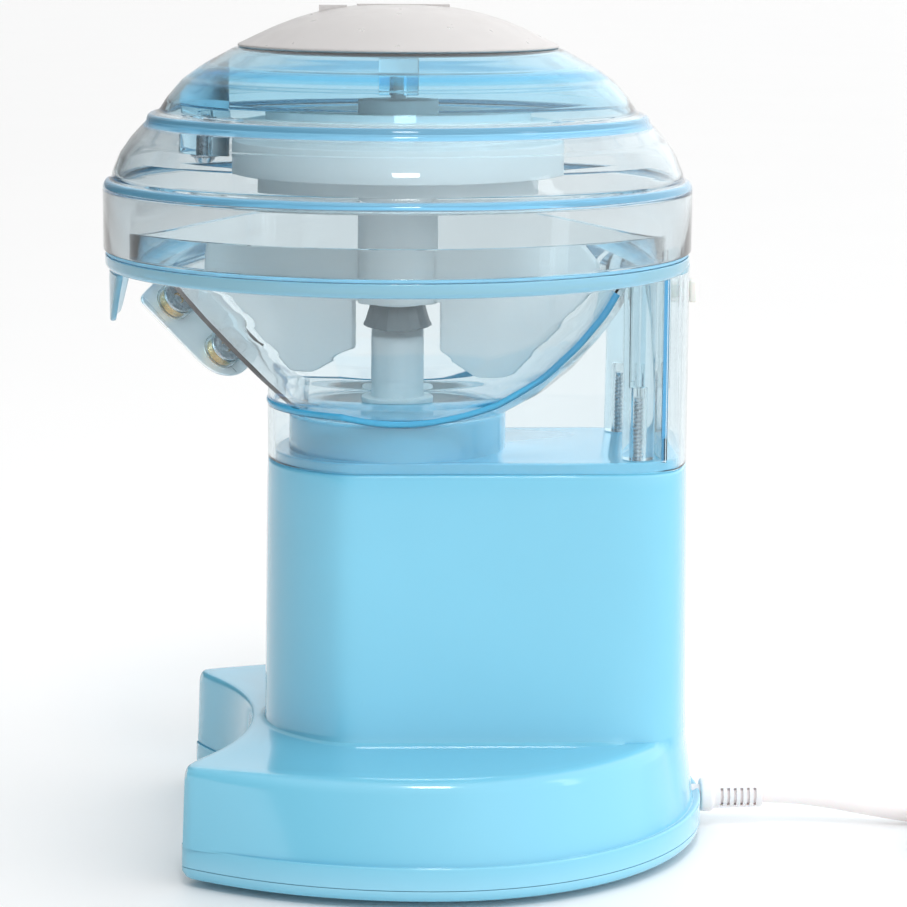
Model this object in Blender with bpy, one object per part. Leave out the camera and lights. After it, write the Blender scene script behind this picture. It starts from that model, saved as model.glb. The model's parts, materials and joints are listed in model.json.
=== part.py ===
"""Countertop shaved ice machine: a motor tower on a wide foot, a clear hopper and a clear stepped lid.

Metres, +Z up. The front, where the snow falls out, faces -Y. The origin is on the table, under the
middle of the machine, and the hopper, lid, paddle and motor share one vertical axis at y = AXIS_Y.
Every shape is drawn round that axis and moved to it at the end.
"""

import math

import bmesh
import bpy
from mathutils import Matrix, Vector

MM = 0.001
GAP = 0.3 * MM                      # between neighbouring pieces
AXIS_Y = -4.1 * MM                  # the main axis, in the frame of the whole machine

# Foot, in plan: a round rear, sides that draw in towards the front, and a scoop that a cup stands in
FOOT_CENTRE_Y = 15.0 * MM
FOOT_RADIUS = 110.5 * MM
FOOT_SIDE_RADIUS = 167.0 * MM
FOOT_SIDE_SPREAD = 7.3              # how fast the sides straighten as the walls lean in
FOOT_FRONT_Y = -86.5 * MM
SCOOP_RADIUS = 122.0 * MM
SCOOP_BACK_Y = -62.0 * MM
PLATE_BOTTOM = 3.0 * MM
PLATE_TOP = 8.0 * MM
FLANGE_TOP = 16.4 * MM
FOOT_TOP = 48.6 * MM
PAD_PLACES = ((72 * MM, 71 * MM), (-72 * MM, 71 * MM), (64 * MM, -60 * MM), (-64 * MM, -60 * MM))

# Tower, in plan: a round front, flat sides and a round rear
TOWER_FRONT = 53.8 * MM
TOWER_HALF_WIDTH = 48.5 * MM
TOWER_REAR = 118.3 * MM
TOWER_DRAFT = 1.5 * MM              # how much the tower narrows by its top
TOWER_TOP = 156.7 * MM
DECK_TOP = 161.0 * MM               # raised deck that the clear skirt fits round
NECK_RADIUS = 43.8 * MM
NECK_TOP = 175.6 * MM
WALL = 3.0 * MM
CLEAR_WALL = 2.5 * MM

# Hopper and lid
RIM_RADIUS = 116.6 * MM
RIM_BOTTOM = 234.0 * MM
RIM_TOP = 239.6 * MM
LIP_RADIUS = 106.6 * MM
LIP_TOP = 252.0 * MM
LID_RADIUS = 117.3 * MM
LID_BOTTOM = 241.2 * MM
LID_TOP = 320.8 * MM
CAP_RADIUS = 63.6 * MM
MACHINE_TOP = 338.0 * MM

# Blade: it lies on a slanting line down the front of the bowl
SLANT_TOP = Vector((0, -87.05 * MM, 228.37 * MM))
SLANT_BOTTOM = Vector((0, -56.45 * MM, 196.37 * MM))
BLADE_TILT = math.radians(38)
BLADE_LENGTH = 52.0 * MM
BLADE_WIDTH = 33.0 * MM
BLADE_THICKNESS = 1.2 * MM
BLADE_MIDDLE = 18.0 * MM            # along the slant, from SLANT_TOP
BLADE_EDGE_X = -9.5 * MM
BLADE_EDGE_IN = 4.1 * MM            # how far the cutting edge reaches past the facet's outer face
FACET_THICKNESS = 3.5 * MM
INSERT_SPACING = 27.0 * MM
INSERT_OFFSET = 21.2 * MM           # from the cutting edge
INSERT_RADIUS = 6.4 * MM
BOSS_RADIUS = 7.5 * MM
BOSS_LENGTH = 14.0 * MM              # from an insert towards the cutting edge

# Drive
SHAFT_RADIUS = 4.0 * MM
SHAFT_BOTTOM = 86.0 * MM
SHAFT_TOP = 216.0 * MM
MOTOR_RADIUS = 38.0 * MM
HUB_RADIUS = 16.0 * MM
HUB_TOP = 300.0 * MM

# Interlock: a rod at the rear that the lid pushes down, and the switch under it
ROD_Y = 107.0 * MM
ROD_RADIUS = 1.6 * MM
ROD_BOTTOM = 136.9 * MM
ROD_TOP = 184.0 * MM
SLIDER_Y = 110.6 * MM
SLIDER_TOP = 240.9 * MM
LEVER_PIVOT_Y = 83.9 * MM
POST_PLACES = ((35 * MM, 94 * MM), (-35 * MM, 94 * MM))

# Mains lead
CORD_RADIUS = 3.4 * MM
CORD_EXIT_Z = 13.5 * MM
COIL_CENTRE = (44.0 * MM, 259.0 * MM)
COIL_RADIUS = 40.6 * MM
PLUG_HEIGHT = 7.9 * MM
PIN_SPACING = 12.7 * MM

# Pieces with so many cuts in one flat face that the exact Boolean leaves open edges
MANY_CUTS = ("base_housing", "motor_bracket_top", "upper_housing")

# Facets round a circle
FINE, MEDIUM, COARSE = 32, 18, 10
PLUG_FACETS = 16
SPRING_FACETS = 8                   # points in one turn of the spring
PLAN_STEP = 10                      # degrees between two points of the foot's and the tower's outline

LOOKS = {                           # colour, roughness, metallic, transmission
    "blue": ((0.27, 0.70, 0.89), 0.22, 0.0, 0.0),
    "clear": ((0.80, 0.94, 0.97), 0.06, 0.0, 0.9),
    "frosted": ((0.97, 0.95, 0.92), 0.35, 0.0, 0.6),
    "milky": ((0.92, 0.95, 0.95), 0.40, 0.0, 0.3),
    "white": ((0.90, 0.89, 0.85), 0.38, 0.0, 0.0),
    "rubber": ((0.03, 0.03, 0.03), 0.80, 0.0, 0.0),
    "steel": ((0.62, 0.63, 0.64), 0.28, 1.0, 0.0),
    "cast": ((0.55, 0.56, 0.57), 0.50, 1.0, 0.0),
    "copper": ((0.60, 0.27, 0.12), 0.45, 1.0, 0.0),
    "brass": ((0.68, 0.47, 0.20), 0.30, 1.0, 0.0),
    "dark": ((0.06, 0.08, 0.09), 0.45, 0.0, 0.0),
}

UP = Vector((0, 0, 1))
SLANT = (SLANT_BOTTOM - SLANT_TOP).normalized()
INWARD = Vector((0, -SLANT.z, SLANT.y))                 # square to the slant, into the bowl
BLADE_OUT = math.cos(BLADE_TILT) * Vector((-1, 0, 0)) + math.sin(BLADE_TILT) * INWARD
BLADE_FACE = math.sin(BLADE_TILT) * Vector((1, 0, 0)) + math.cos(BLADE_TILT) * INWARD


# ---------------------------------------------------------------- building blocks


def clear_scene():
    for item in list(bpy.data.objects):
        bpy.data.objects.remove(item)


def give_look(item, look):
    """A material of the item's own."""
    colour, roughness, metallic, transmission = LOOKS[look]
    material = bpy.data.materials.new(item.name + "_material")
    material.use_nodes = True
    shader = material.node_tree.nodes["Principled BSDF"]
    shader.inputs["Base Color"].default_value = (*colour, 1)
    shader.inputs["Roughness"].default_value = roughness
    shader.inputs["Metallic"].default_value = metallic
    shader.inputs["Transmission Weight"].default_value = transmission
    item.data.materials.append(material)


def finish_mesh(name, builder, look):
    """One object from a bmesh, with its faces pointing out. Without a look it is a cutter."""
    bmesh.ops.recalc_face_normals(builder, faces=builder.faces)
    mesh = bpy.data.meshes.new(name)
    builder.to_mesh(mesh)
    builder.free()
    item = bpy.data.objects.new(name, mesh)
    bpy.context.scene.collection.objects.link(item)
    if look is None:
        item.hide_render = True
        item.display_type = "WIRE"
    else:
        give_look(item, look)
        mesh.shade_smooth()
        mesh.set_sharp_from_angle(angle=math.radians(35))
    return item


def skin(name, rings, look, closed):
    """A skin over rings of equally many points: closed end to end, or with both ends capped."""
    builder = bmesh.new()
    rows = [[builder.verts.new(point) for point in ring] for ring in rings]
    pairs = list(zip(rows, rows[1:]))
    if closed:
        pairs.append((rows[-1], rows[0]))
    else:
        builder.faces.new(rows[0])
        builder.faces.new(rows[-1])
    for lower, upper in pairs:
        for here in range(len(lower)):
            after = (here + 1) % len(lower)
            builder.faces.new((lower[here], lower[after], upper[after], upper[here]))
    return finish_mesh(name, builder, look)


def turn(name, profile, look, facets=MEDIUM, centre=(0, 0), frame=None):
    """A solid turned round Z, or round another frame's Z, from a closed outline of (radius, height) in mm."""
    builder = bmesh.new()
    frame = frame or Matrix.Translation((centre[0], centre[1], 0))
    rows = []
    for radius, height in profile:
        if radius == 0:
            rows.append([builder.verts.new(frame @ Vector((0, 0, height * MM)))])
            continue
        row = []
        for step in range(facets):
            angle = 2 * math.pi * step / facets
            place = Vector((math.cos(angle) * radius, math.sin(angle) * radius, height)) * MM
            row.append(builder.verts.new(frame @ place))
        rows.append(row)
    for here, after in zip(rows, rows[1:] + rows[:1]):
        for step in range(facets):
            corners = [row[step % len(row)] for row in (here, after)]
            following = [row[(step + 1) % len(row)] for row in (after, here)]
            ring = list(dict.fromkeys(corners + following))
            if len(ring) > 2:
                builder.faces.new(ring)
    return finish_mesh(name, builder, look)


def extrude(name, outline, start, end, look, across=Vector((1, 0, 0)), along=Vector((0, 1, 0)),
            up=UP, origin=Vector((0, 0, 0))):
    """A prism whose flat outline of (along, up) in metres is drawn out across from start to end."""
    rings = []
    for reach in (start, end):
        rings.append([origin + across * reach + along * a + up * b for a, b in outline])
    return skin(name, rings, look, closed=False)


def block(name, low, high, look):
    """A box from its lowest corner to its highest, in mm."""
    low = Vector(low) * MM
    high = Vector(high) * MM
    outline = ((low.y, low.z), (high.y, low.z), (high.y, high.z), (low.y, high.z))
    return extrude(name, outline, low.x, high.x, look)


def combine(item, other, operation):
    """A live Boolean on the item. The other object stays as a helper."""
    change = item.modifiers.new(operation.title() + "_" + other.name, "BOOLEAN")
    change.operation = operation
    if item.name in MANY_CUTS:
        change.solver = "MANIFOLD"
    change.object = other
    other.hide_render = True
    other.display_type = "WIRE"


def screw(name, place, head, shank, look="steel", frame=None):
    """A screw from its head's (radius, bottom, top) and its shank's (radius, top), in mm."""
    head_radius, head_bottom, head_top = head
    shank_radius, shank_top = shank
    profile = ((0, head_bottom), (head_radius, head_bottom), (head_radius, head_top),
               (shank_radius, head_top), (shank_radius, shank_top), (0, shank_top))
    return turn(name, profile, look, COARSE, place, frame)


def rod_profile(radius, bottom, top):
    return (0, bottom), (radius, bottom), (radius, top), (0, top)


def ring_profile(inner, outer, bottom, top):
    return (inner, bottom), (outer, bottom), (outer, top), (inner, top)


# ---------------------------------------------------------------- plan outlines


def disc_exit(direction, centre_x, centre_y, radius):
    """How far a ray from the main axis goes before it leaves a disc."""
    middle = direction.x * centre_x + direction.y * centre_y
    return middle + math.sqrt(middle ** 2 - centre_x ** 2 - centre_y ** 2 + radius ** 2)


def disc_entry(direction, centre_y, radius):
    """How far a ray from the main axis goes before it meets a disc in front, or infinity."""
    middle = direction.y * centre_y
    inside = middle ** 2 - centre_y ** 2 + radius ** 2
    return middle - math.sqrt(inside) if middle > 0 and inside > 0 else math.inf


def foot_reach(direction, draft, wall):
    rear = FOOT_RADIUS - draft
    side = FOOT_SIDE_RADIUS + FOOT_SIDE_SPREAD * draft
    shift = side - rear
    centre_x = -math.copysign(shift, direction.x)
    reach = disc_exit(direction, centre_x, FOOT_CENTRE_Y, side - wall)
    if direction.y * reach > FOOT_CENTRE_Y:
        reach = disc_exit(direction, 0, FOOT_CENTRE_Y, rear - wall)
    scoop = SCOOP_RADIUS + 0.25 * draft + wall
    reach = min(reach, disc_entry(direction, SCOOP_BACK_Y - SCOOP_RADIUS, scoop))
    front = FOOT_FRONT_Y + 0.2 * draft + wall
    if direction.y < 0:
        reach = min(reach, front / direction.y)
    return reach


def tower_reach(direction, inset):
    end = TOWER_FRONT if direction.y < 0 else TOWER_REAR
    side = (TOWER_HALF_WIDTH - inset) / max(abs(direction.x), 1e-9)
    return min(end - inset, side)


def plan_angles():
    """Directions round the main axis, closer together at the corners of the foot and the tower."""
    angles = {math.radians(angle) for angle in range(0, 360, PLAN_STEP)}
    tower_corners = (-math.acos(TOWER_HALF_WIDTH / TOWER_FRONT), math.acos(TOWER_HALF_WIDTH / TOWER_REAR))
    horn = [math.radians(angle) for angle in (-46.8, -48.6, -49.7, -51.0)]
    for angle in (*tower_corners, *horn):
        angles.add(angle % (2 * math.pi))
        angles.add((math.pi - angle) % (2 * math.pi))
    ordered = sorted(angles)
    return [angle for here, angle in enumerate(ordered) if here == 0 or angle - ordered[here - 1] > 0.004]


DIRECTIONS = [Vector((math.cos(angle), math.sin(angle), 0)) for angle in plan_angles()]


def foot_ring(height, draft, wall=0.0):
    rise = UP * height * MM
    return [way * foot_reach(way, draft * MM, wall * MM) + rise for way in DIRECTIONS]


def shoulder_ring(height, draft):
    """The foot's upper wall, kept outside the tower where the two meet at the rear."""
    rise = UP * height * MM
    reaches = [max(foot_reach(way, draft * MM, 0), tower_reach(way, -0.6 * MM)) for way in DIRECTIONS]
    return [way * reach + rise for way, reach in zip(DIRECTIONS, reaches)]


def tower_ring(height, inset):
    rise = UP * height * MM
    return [way * tower_reach(way, inset * MM) + rise for way in DIRECTIONS]


def round_ring(height, radius):
    return [way * radius * MM + UP * height * MM for way in DIRECTIONS]


# ---------------------------------------------------------------- foot and tower


def build_base():
    top = TOWER_DRAFT / MM
    deck = top + (CLEAR_WALL + GAP) / MM
    tower_top, deck_top, neck_top = TOWER_TOP / MM, DECK_TOP / MM, NECK_TOP / MM
    neck, wall, hole = NECK_RADIUS / MM, WALL / MM, 12.5
    foot_top, flange = FOOT_TOP / MM, FLANGE_TOP / MM
    base_bottom = (PLATE_TOP + GAP) / MM
    rings = [
        foot_ring(base_bottom, 0), foot_ring(flange, 0), foot_ring(flange, 2.2),
        shoulder_ring(foot_top - 5.2, 8.6), shoulder_ring(foot_top - 1.6, 10), shoulder_ring(foot_top, 12.4),
        tower_ring(foot_top + 0.5, -0.5), tower_ring(foot_top + 3.3, 0),
        tower_ring(tower_top, top), tower_ring(tower_top, deck), tower_ring(deck_top, deck),
        round_ring(deck_top, neck), round_ring(neck_top, neck), round_ring(neck_top, hole),
        round_ring(neck_top - wall, hole), round_ring(neck_top - wall, neck - wall),
        round_ring(deck_top - wall, neck - wall), tower_ring(deck_top - wall, 7.0),
        tower_ring(foot_top - 3, 3.5), foot_ring(43.9, 11.5, 4), foot_ring(40, 9, 3.2),
        foot_ring(16, 3, 3.4), foot_ring(base_bottom, 0.5, 3.4),
    ]
    base = skin("base_housing", rings, "blue", closed=True)
    for number, (x, y) in enumerate(PAD_PLACES, 1):
        boss = turn(f"boss_helper_{number}", rod_profile(4.6, base_bottom + 0.7, 45.2), None, COARSE, (x, y))
        combine(base, boss, "UNION")
    for number, (x, y) in enumerate(PAD_PLACES, 1):
        hole = turn(f"boss_hole_{number}", rod_profile(2.3, 5, 16.5), None, COARSE, (x, y))
        combine(base, hole, "DIFFERENCE")
    drilled = [(place, 2.3, 150, 170) for place in POST_PLACES]
    drilled.append(((0, ROD_Y), 2.1, 150, 170))
    drilled.append(((0, 64 * MM), 2.0, 150, 160))
    drilled += [(place, 2.0, 160, 175.1) for place in motor_screw_places()]
    for number, (place, radius, bottom, upper) in enumerate(drilled, 1):
        hole = turn(f"deck_hole_{number}", rod_profile(radius, bottom, upper), None, COARSE, place)
        combine(base, hole, "DIFFERENCE")
    cord_hole = turn("cord_hole", rod_profile(4.7, 100, 135), None, MEDIUM, frame=cord_frame())
    combine(base, cord_hole, "DIFFERENCE")


def build_underside():
    rings = [
        foot_ring(PLATE_BOTTOM / MM, 0, 0.8), foot_ring(PLATE_BOTTOM / MM + 0.8, 0),
        foot_ring(PLATE_TOP / MM, 0), foot_ring(PLATE_TOP / MM, 0, 5),
        foot_ring(PLATE_TOP / MM - 2.5, 0, 5),
    ]
    plate = skin("bottom_plate", rings, "blue", closed=False)
    for number, place in enumerate(PAD_PLACES, 1):
        hole = turn(f"plate_hole_{number}", rod_profile(2.3, 0, 12), None, COARSE, place)
        combine(plate, hole, "DIFFERENCE")
        pad = ((2.3, 2.7), (5.7, 2.7), (6.2, 2.2), (6.2, 0.5), (5.8, 0), (4.0, 0), (4.0, 1.9), (2.3, 1.9))
        turn(f"foot_pad_{number}", pad, "rubber", COARSE, place)
        screw(f"foot_screw_{number}", place, (3.5, 0.5, 1.6), (1.9, 15))


# ---------------------------------------------------------------- motor and drive


def motor_screw_places():
    places = []
    for step in range(3):
        angle = math.radians(90 + 120 * step)
        places.append((math.cos(angle) * 27 * MM, math.sin(angle) * 27 * MM))
    return places


def build_motor():
    outer = MOTOR_RADIUS / MM
    top = ((8.8, 161), (13, 161), (13, 168.6), (35.6, 168.6), (35.6, 158), (outer, 158),
           (outer, 172.3), (8.8, 172.3))
    bracket = turn("motor_bracket_top", top, "cast")
    for number, place in enumerate(motor_screw_places(), 1):
        hole = turn(f"bracket_hole_{number}", rod_profile(2.0, 160, 180), None, COARSE, place)
        combine(bracket, hole, "DIFFERENCE")
        screw(f"motor_screw_{number}", place, (3.2, 165.6, 168.3), (1.7, 174.8))
    bottom = ((8.8, 100), (outer, 100), (outer, 114), (35.6, 114), (35.6, 103.7), (13, 103.7),
              (13, 110), (8.8, 110))
    turn("motor_bracket_bottom", bottom, "cast")
    turn("motor_stator", ring_profile(24, 35.3, 112, 160), "copper")
    turn("bearing_top", ring_profile(4.4, 8.5, 162, 168), "steel")
    turn("bearing_bottom", ring_profile(4.4, 8.5, 101.5, 107.5), "steel")
    sleeve = ((4.7, 172.9), (10.6, 172.9), (10.6, 178.8), (14.5, 178.8), (14.5, 181.8),
              (10.6, 181.8), (10.6, 206.5), (9.2, 208), (4.7, 208))
    turn("shaft_sleeve", sleeve, "milky")


def build_rotor():
    bottom, top = SHAFT_BOTTOM / MM, SHAFT_TOP / MM
    radius = SHAFT_RADIUS / MM
    bore = radius + GAP / MM
    turn("motor_shaft", rod_profile(radius, bottom, top), "steel", COARSE)
    turn("motor_armature", ring_profile(bore + 0.1, 23.2, 114, 157), "copper")
    fan = ((bore + 0.1, 90), (9, 90), (9, 94), (30, 94), (30, 96.5), (bore + 0.1, 96.5))
    turn("cooling_fan", fan, "dark")
    dog = ((bore + 0.1, 208.3), (14, 208.3), (11, 218), (0, 218), (0, top + 0.5), (bore + 0.1, top + 0.5))
    coupling = turn("drive_coupling", dog, "dark")
    stub = turn("coupling_stub", rod_profile(6.3, 217, 226), None, 6)
    combine(coupling, stub, "UNION")


def build_paddle():
    """The hub with its two vanes, whose slanting edges pass just inside the blade facet."""
    hub, top = HUB_RADIUS / MM, HUB_TOP / MM
    profile = ((0, 218.3), (hub, 218.3), (hub, top), (3, top), (3, 309), (0, 309))
    paddle = turn("paddle", profile, "milky")
    vane = ((14, 246), (14, 220.5), (18.5, 220.5), (18.5, 200), (36, 189.5), (45.5, 189.5),
            (83, 228.7), (83, 240), (76, 246))
    outline = [(radius * MM, height * MM) for radius, height in vane]
    for number, degrees in enumerate((70, 250), 1):
        angle = math.radians(degrees)
        along = Vector((math.cos(angle), math.sin(angle), 0))
        helper = extrude(f"vane_helper_{number}", outline, -2.5 * MM, 2.5 * MM, None, UP.cross(along), along)
        combine(paddle, helper, "UNION")
    socket = turn("hub_socket", rod_profile(6.8, 216, 226.4), None, 6)
    combine(paddle, socket, "DIFFERENCE")
    bore = hub + 0.4
    drum = ((bore, 262), (bore + 2.2, 262), (bore + 2.2, 292.3), (50.8, 292.3), (50.8, 282), (63.8, 282),
            (63.8, 272.7), (53.8, 272.7), (53.8, 262), (56, 262), (56, 270.5), (66, 270.5),
            (66, 284.2), (53, 284.2), (53, 294.5), (bore, 294.5))
    turn("pusher_drum", drum, "milky", FINE)


# ---------------------------------------------------------------- clear hopper housing


BOWL_OUTER = ((44.0, 176.0), (59.0, 184.5), (72.0, 195.5), (83.0, 208.5), (91.0, 220.0),
              (96.5, 231.0), (98.5, 234.0))
BOWL_INNER = ((97.5, 236.8), (94.2, 231.5), (88.8, 221.3), (81.0, 210.0), (70.3, 197.4),
              (57.8, 186.9), (43.2, 178.5))


def slant_box(name, low, high):
    """A box along the slant: x, distance down the slant and distance into the bowl, in mm."""
    outline = [(low[1], low[2]), (high[1], low[2]), (high[1], high[2]), (low[1], high[2])]
    outline = [(a * MM, b * MM) for a, b in outline]
    return extrude(name, outline, low[0] * MM, high[0] * MM, None, along=SLANT, up=INWARD, origin=SLANT_TOP)


def slant_prism(name, outline, half_length):
    """A prism along the slant, centred on the blade, from an outline of (x, distance into the bowl)."""
    middle = BLADE_MIDDLE
    return extrude(name, outline, middle - half_length, middle + half_length, None,
                   across=SLANT, along=Vector((1, 0, 0)), up=INWARD, origin=SLANT_TOP)


def bed_x(depth, offset):
    """Where the plane at this offset from the blade's lower face passes a depth into the bowl."""
    return BLADE_EDGE_X + (offset - (depth - BLADE_EDGE_IN) * math.cos(BLADE_TILT)) / math.sin(BLADE_TILT)


def blade_frame(width_offset=0.0, slant_offset=0.0):
    """Z along the blade's face normal, X along its width towards the cutting edge."""
    edge = SLANT_TOP + SLANT * (BLADE_MIDDLE + slant_offset) + INWARD * BLADE_EDGE_IN
    place = edge + Vector((BLADE_EDGE_X, 0, 0)) - BLADE_OUT * width_offset
    side = BLADE_FACE.cross(BLADE_OUT)
    turned = Matrix((BLADE_OUT, side, BLADE_FACE)).transposed().to_4x4()
    return Matrix.Translation(place) @ turned


def insert_frames():
    return [blade_frame(INSERT_OFFSET, way * INSERT_SPACING / 2) for way in (-1, 1)]


def build_bowl():
    """The bowl, rim and lip, with a flat facet across its front where the blade cuts through."""
    rim = [(RIM_RADIUS / MM - 1.3, RIM_BOTTOM / MM), (RIM_RADIUS / MM, RIM_BOTTOM / MM + 1.6),
           (RIM_RADIUS / MM, RIM_TOP / MM), (LIP_RADIUS / MM, RIM_TOP / MM), (LIP_RADIUS / MM, LIP_TOP / MM),
           (LIP_RADIUS / MM - 2.5, LIP_TOP / MM), (LIP_RADIUS / MM - 2.5, 238.2)]
    profile = [(11.3, 176), *BOWL_OUTER, *rim, *BOWL_INNER, (11.3, 178.5)]
    bowl = turn("bowl_helper", profile, None, FINE)
    front = slant_box("front_cutter", (-50, -6.9, -30), (50, 66, 0))
    combine(bowl, front, "DIFFERENCE")
    facet = slant_box("facet_helper", (-51, -7.9, 0), (51, 70, FACET_THICKNESS / MM))
    solid = turn("bowl_solid", [(0, 176), *BOWL_OUTER[:-1], (98.0, 233.4), (0, 233.4)], None, FINE)
    combine(facet, solid, "INTERSECT")
    return bowl, facet


def build_housing():
    """Skirt, rear chamber, screw posts and bowl, all one clear moulding."""
    outer = TOWER_DRAFT / MM
    inner = outer + CLEAR_WALL / MM
    bottom = (TOWER_TOP + GAP) / MM
    rings = [tower_ring(bottom, outer), tower_ring(236, outer),
             tower_ring(236, inner), tower_ring(bottom, inner)]
    housing = skin("upper_housing", rings, "clear", closed=True)
    combine(housing, block("chamber_wall", (-46, 102.3, 161.4), (46, 104.3, 236.5), None), "UNION")
    for number, place in enumerate(POST_PLACES, 1):
        post = turn(f"post_helper_{number}", rod_profile(6.3, 161.4, 237), None, COARSE, place)
        combine(housing, post, "UNION")
    middle_wall = [(43.6, 177.2), (58.4, 185.7), (71.2, 196.4), (82, 209.2), (89.9, 220.7),
                   (95.4, 231.3), (98, 235.4), (105.3, 237.2)]
    hollow = turn("bowl_hollow", [(0, 177.2), *middle_wall, (105.3, 260), (0, 260)], None, FINE)
    combine(hollow, slant_box("hollow_front", (-50, -30, -40), (50, 90, 1.2)), "DIFFERENCE")
    combine(housing, hollow, "DIFFERENCE")
    bowl, facet = build_bowl()
    combine(housing, bowl, "UNION")
    combine(housing, facet, "UNION")
    cut_blade_seat(housing)
    for number, place in enumerate(POST_PLACES, 1):
        hole = turn(f"post_hole_{number}", rod_profile(2.3, 150, 190), None, COARSE, place)
        combine(housing, hole, "DIFFERENCE")
        screw(f"housing_screw_{number}", place, (4.2, 154.6, 157.7), (1.9, 186))
    combine(housing, block("slider_slot", (-3.3, 108.9, 228), (3.3, 112.2, 248), None), "DIFFERENCE")
    combine(housing, block("knob_slot", (-2.6, 112.8, 217.5), (2.6, 122, 227.5), None), "DIFFERENCE")


def cut_blade_seat(housing):
    """Two bosses under the facet that the blade bolts to, and the mouth in front of the cutting edge."""
    bed = BLADE_THICKNESS + GAP
    outline = [(BOSS_LENGTH, -BOSS_RADIUS), (BOSS_LENGTH, BOSS_RADIUS)]
    for step in range(9):
        angle = math.radians(90 + 180 * step / 8)
        outline.append((BOSS_RADIUS * math.cos(angle), BOSS_RADIUS * math.sin(angle)))
    for number, frame in enumerate(insert_frames(), 1):
        rings = [[frame @ Vector((x, y, height)) for x, y in outline] for height in (bed, 6.4 * MM)]
        boss = skin(f"blade_boss_{number}", rings, None, closed=False)
        combine(boss, slant_box(f"boss_limit_{number}", (-20, -20, -30), (40, 60, 2.5)), "INTERSECT")
        combine(housing, boss, "UNION")
    mouth_x = BLADE_EDGE_X - 7 * MM
    above, below = FACET_THICKNESS + 2 * MM, -1.5 * MM
    mouth = ((mouth_x, below), (mouth_x, above), (bed_x(above, bed), above), (bed_x(below, bed), below))
    combine(housing, slant_prism("snow_mouth", mouth, 25.5 * MM), "DIFFERENCE")
    for number, frame in enumerate(insert_frames(), 1):
        radius = (INSERT_RADIUS + GAP) / MM
        hole = turn(f"insert_hole_{number}", rod_profile(radius, 0.8, 6.7), None, MEDIUM, frame=frame)
        combine(housing, hole, "DIFFERENCE")


def build_blade():
    """A plate with a round lower end and two slots, held by screws in knurled brass inserts."""
    half, top, corner = BLADE_WIDTH / 2, BLADE_LENGTH / 2 - 1.5 * MM, 4 * MM
    straight = BLADE_LENGTH / 2 - half
    frame = blade_frame(half)
    trim = 0.3 * corner
    outline = [(half, top - corner), (half - trim, top - trim), (half - corner, top),
               (corner - half, top), (trim - half, top - trim), (-half, top - corner)]
    for step in range(9):
        angle = math.radians(180 + 180 * step / 8)
        outline.append((half * math.cos(angle), half * math.sin(angle) - straight))
    rings = [[frame @ Vector((x, y, z)) for x, y in outline] for z in (0, BLADE_THICKNESS)]
    blade = skin("blade", rings, "steel", closed=False)
    radius = INSERT_RADIUS / MM
    for number, seat in enumerate(insert_frames(), 1):
        slot_outline = ((-2.3, -4.2), (2.3, -4.2), (2.3, 4.2), (-2.3, 4.2))
        rings = [[seat @ (Vector((y, x, z)) * MM) for x, y in slot_outline] for z in (-3, 4)]
        combine(blade, skin(f"blade_slot_{number}", rings, None, closed=False), "DIFFERENCE")
        screw(f"blade_screw_{number}", None, (3.6, -2.6, -0.3), (1.9, 5.2), frame=seat)
        turn(f"blade_insert_{number}", ring_profile(2.3, radius, 1.8, 5.2), "brass", MEDIUM, frame=seat)
        cup = ((2.3, 5.5), (radius, 5.5), (radius, 6.4), (radius - 1.2, 6.4), (3.4, 5.9), (2.3, 5.9))
        turn(f"insert_cup_{number}", cup, "steel", MEDIUM, frame=seat)


def build_deflector():
    """A short curved shield under the rim, narrowing to a round tip."""
    half_angle, top, bottom = math.radians(17), 233.7 * MM, 213.0 * MM
    rings = []
    columns = 12
    for step in range(columns + 1):
        share = 2 * step / columns - 1
        angle = -math.pi / 2 + share * half_angle
        way = Vector((math.cos(angle), math.sin(angle), 0))
        taper = max(0, abs(share) - 0.4) / 0.6
        low = bottom + (top - bottom) * (0.03 * share ** 2 + 0.87 * taper ** 1.5)
        rings.append([way * radius * MM + UP * height
                      for radius, height in ((112.6, top), (115.1, top), (115.1, low), (112.6, low))])
    skin("front_deflector", rings, "clear", closed=False)


# ---------------------------------------------------------------- lid


LID_OUTER = ((LID_RADIUS / MM, LID_BOTTOM / MM), (LID_RADIUS / MM, 266.5), (116.3, 268.6), (113.8, 269.6),
             (113.2, 272.5), (110.5, 279), (106.3, 285), (101.5, 290.2), (100.2, 291.4), (99.4, 294.2),
             (97.6, 295.2), (94.8, 296), (92, 300.5), (85.5, 308), (77, 314), (69, 318.3),
             (64.4, LID_TOP / MM), (11.6, LID_TOP / MM))
LID_INNER = ((11.6, 318.3), (63.6, 318.3), (68, 315.9), (75.6, 311.9), (83.6, 306.2), (89.8, 299.1),
             (92.6, 293.5), (97.2, 291.8), (98.2, 289.3), (104.3, 283.2), (108.1, 277.8), (110.6, 271.5),
             (111.2, 267.3), (114.8, 265.5), (114.8, LID_BOTTOM / MM))


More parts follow.
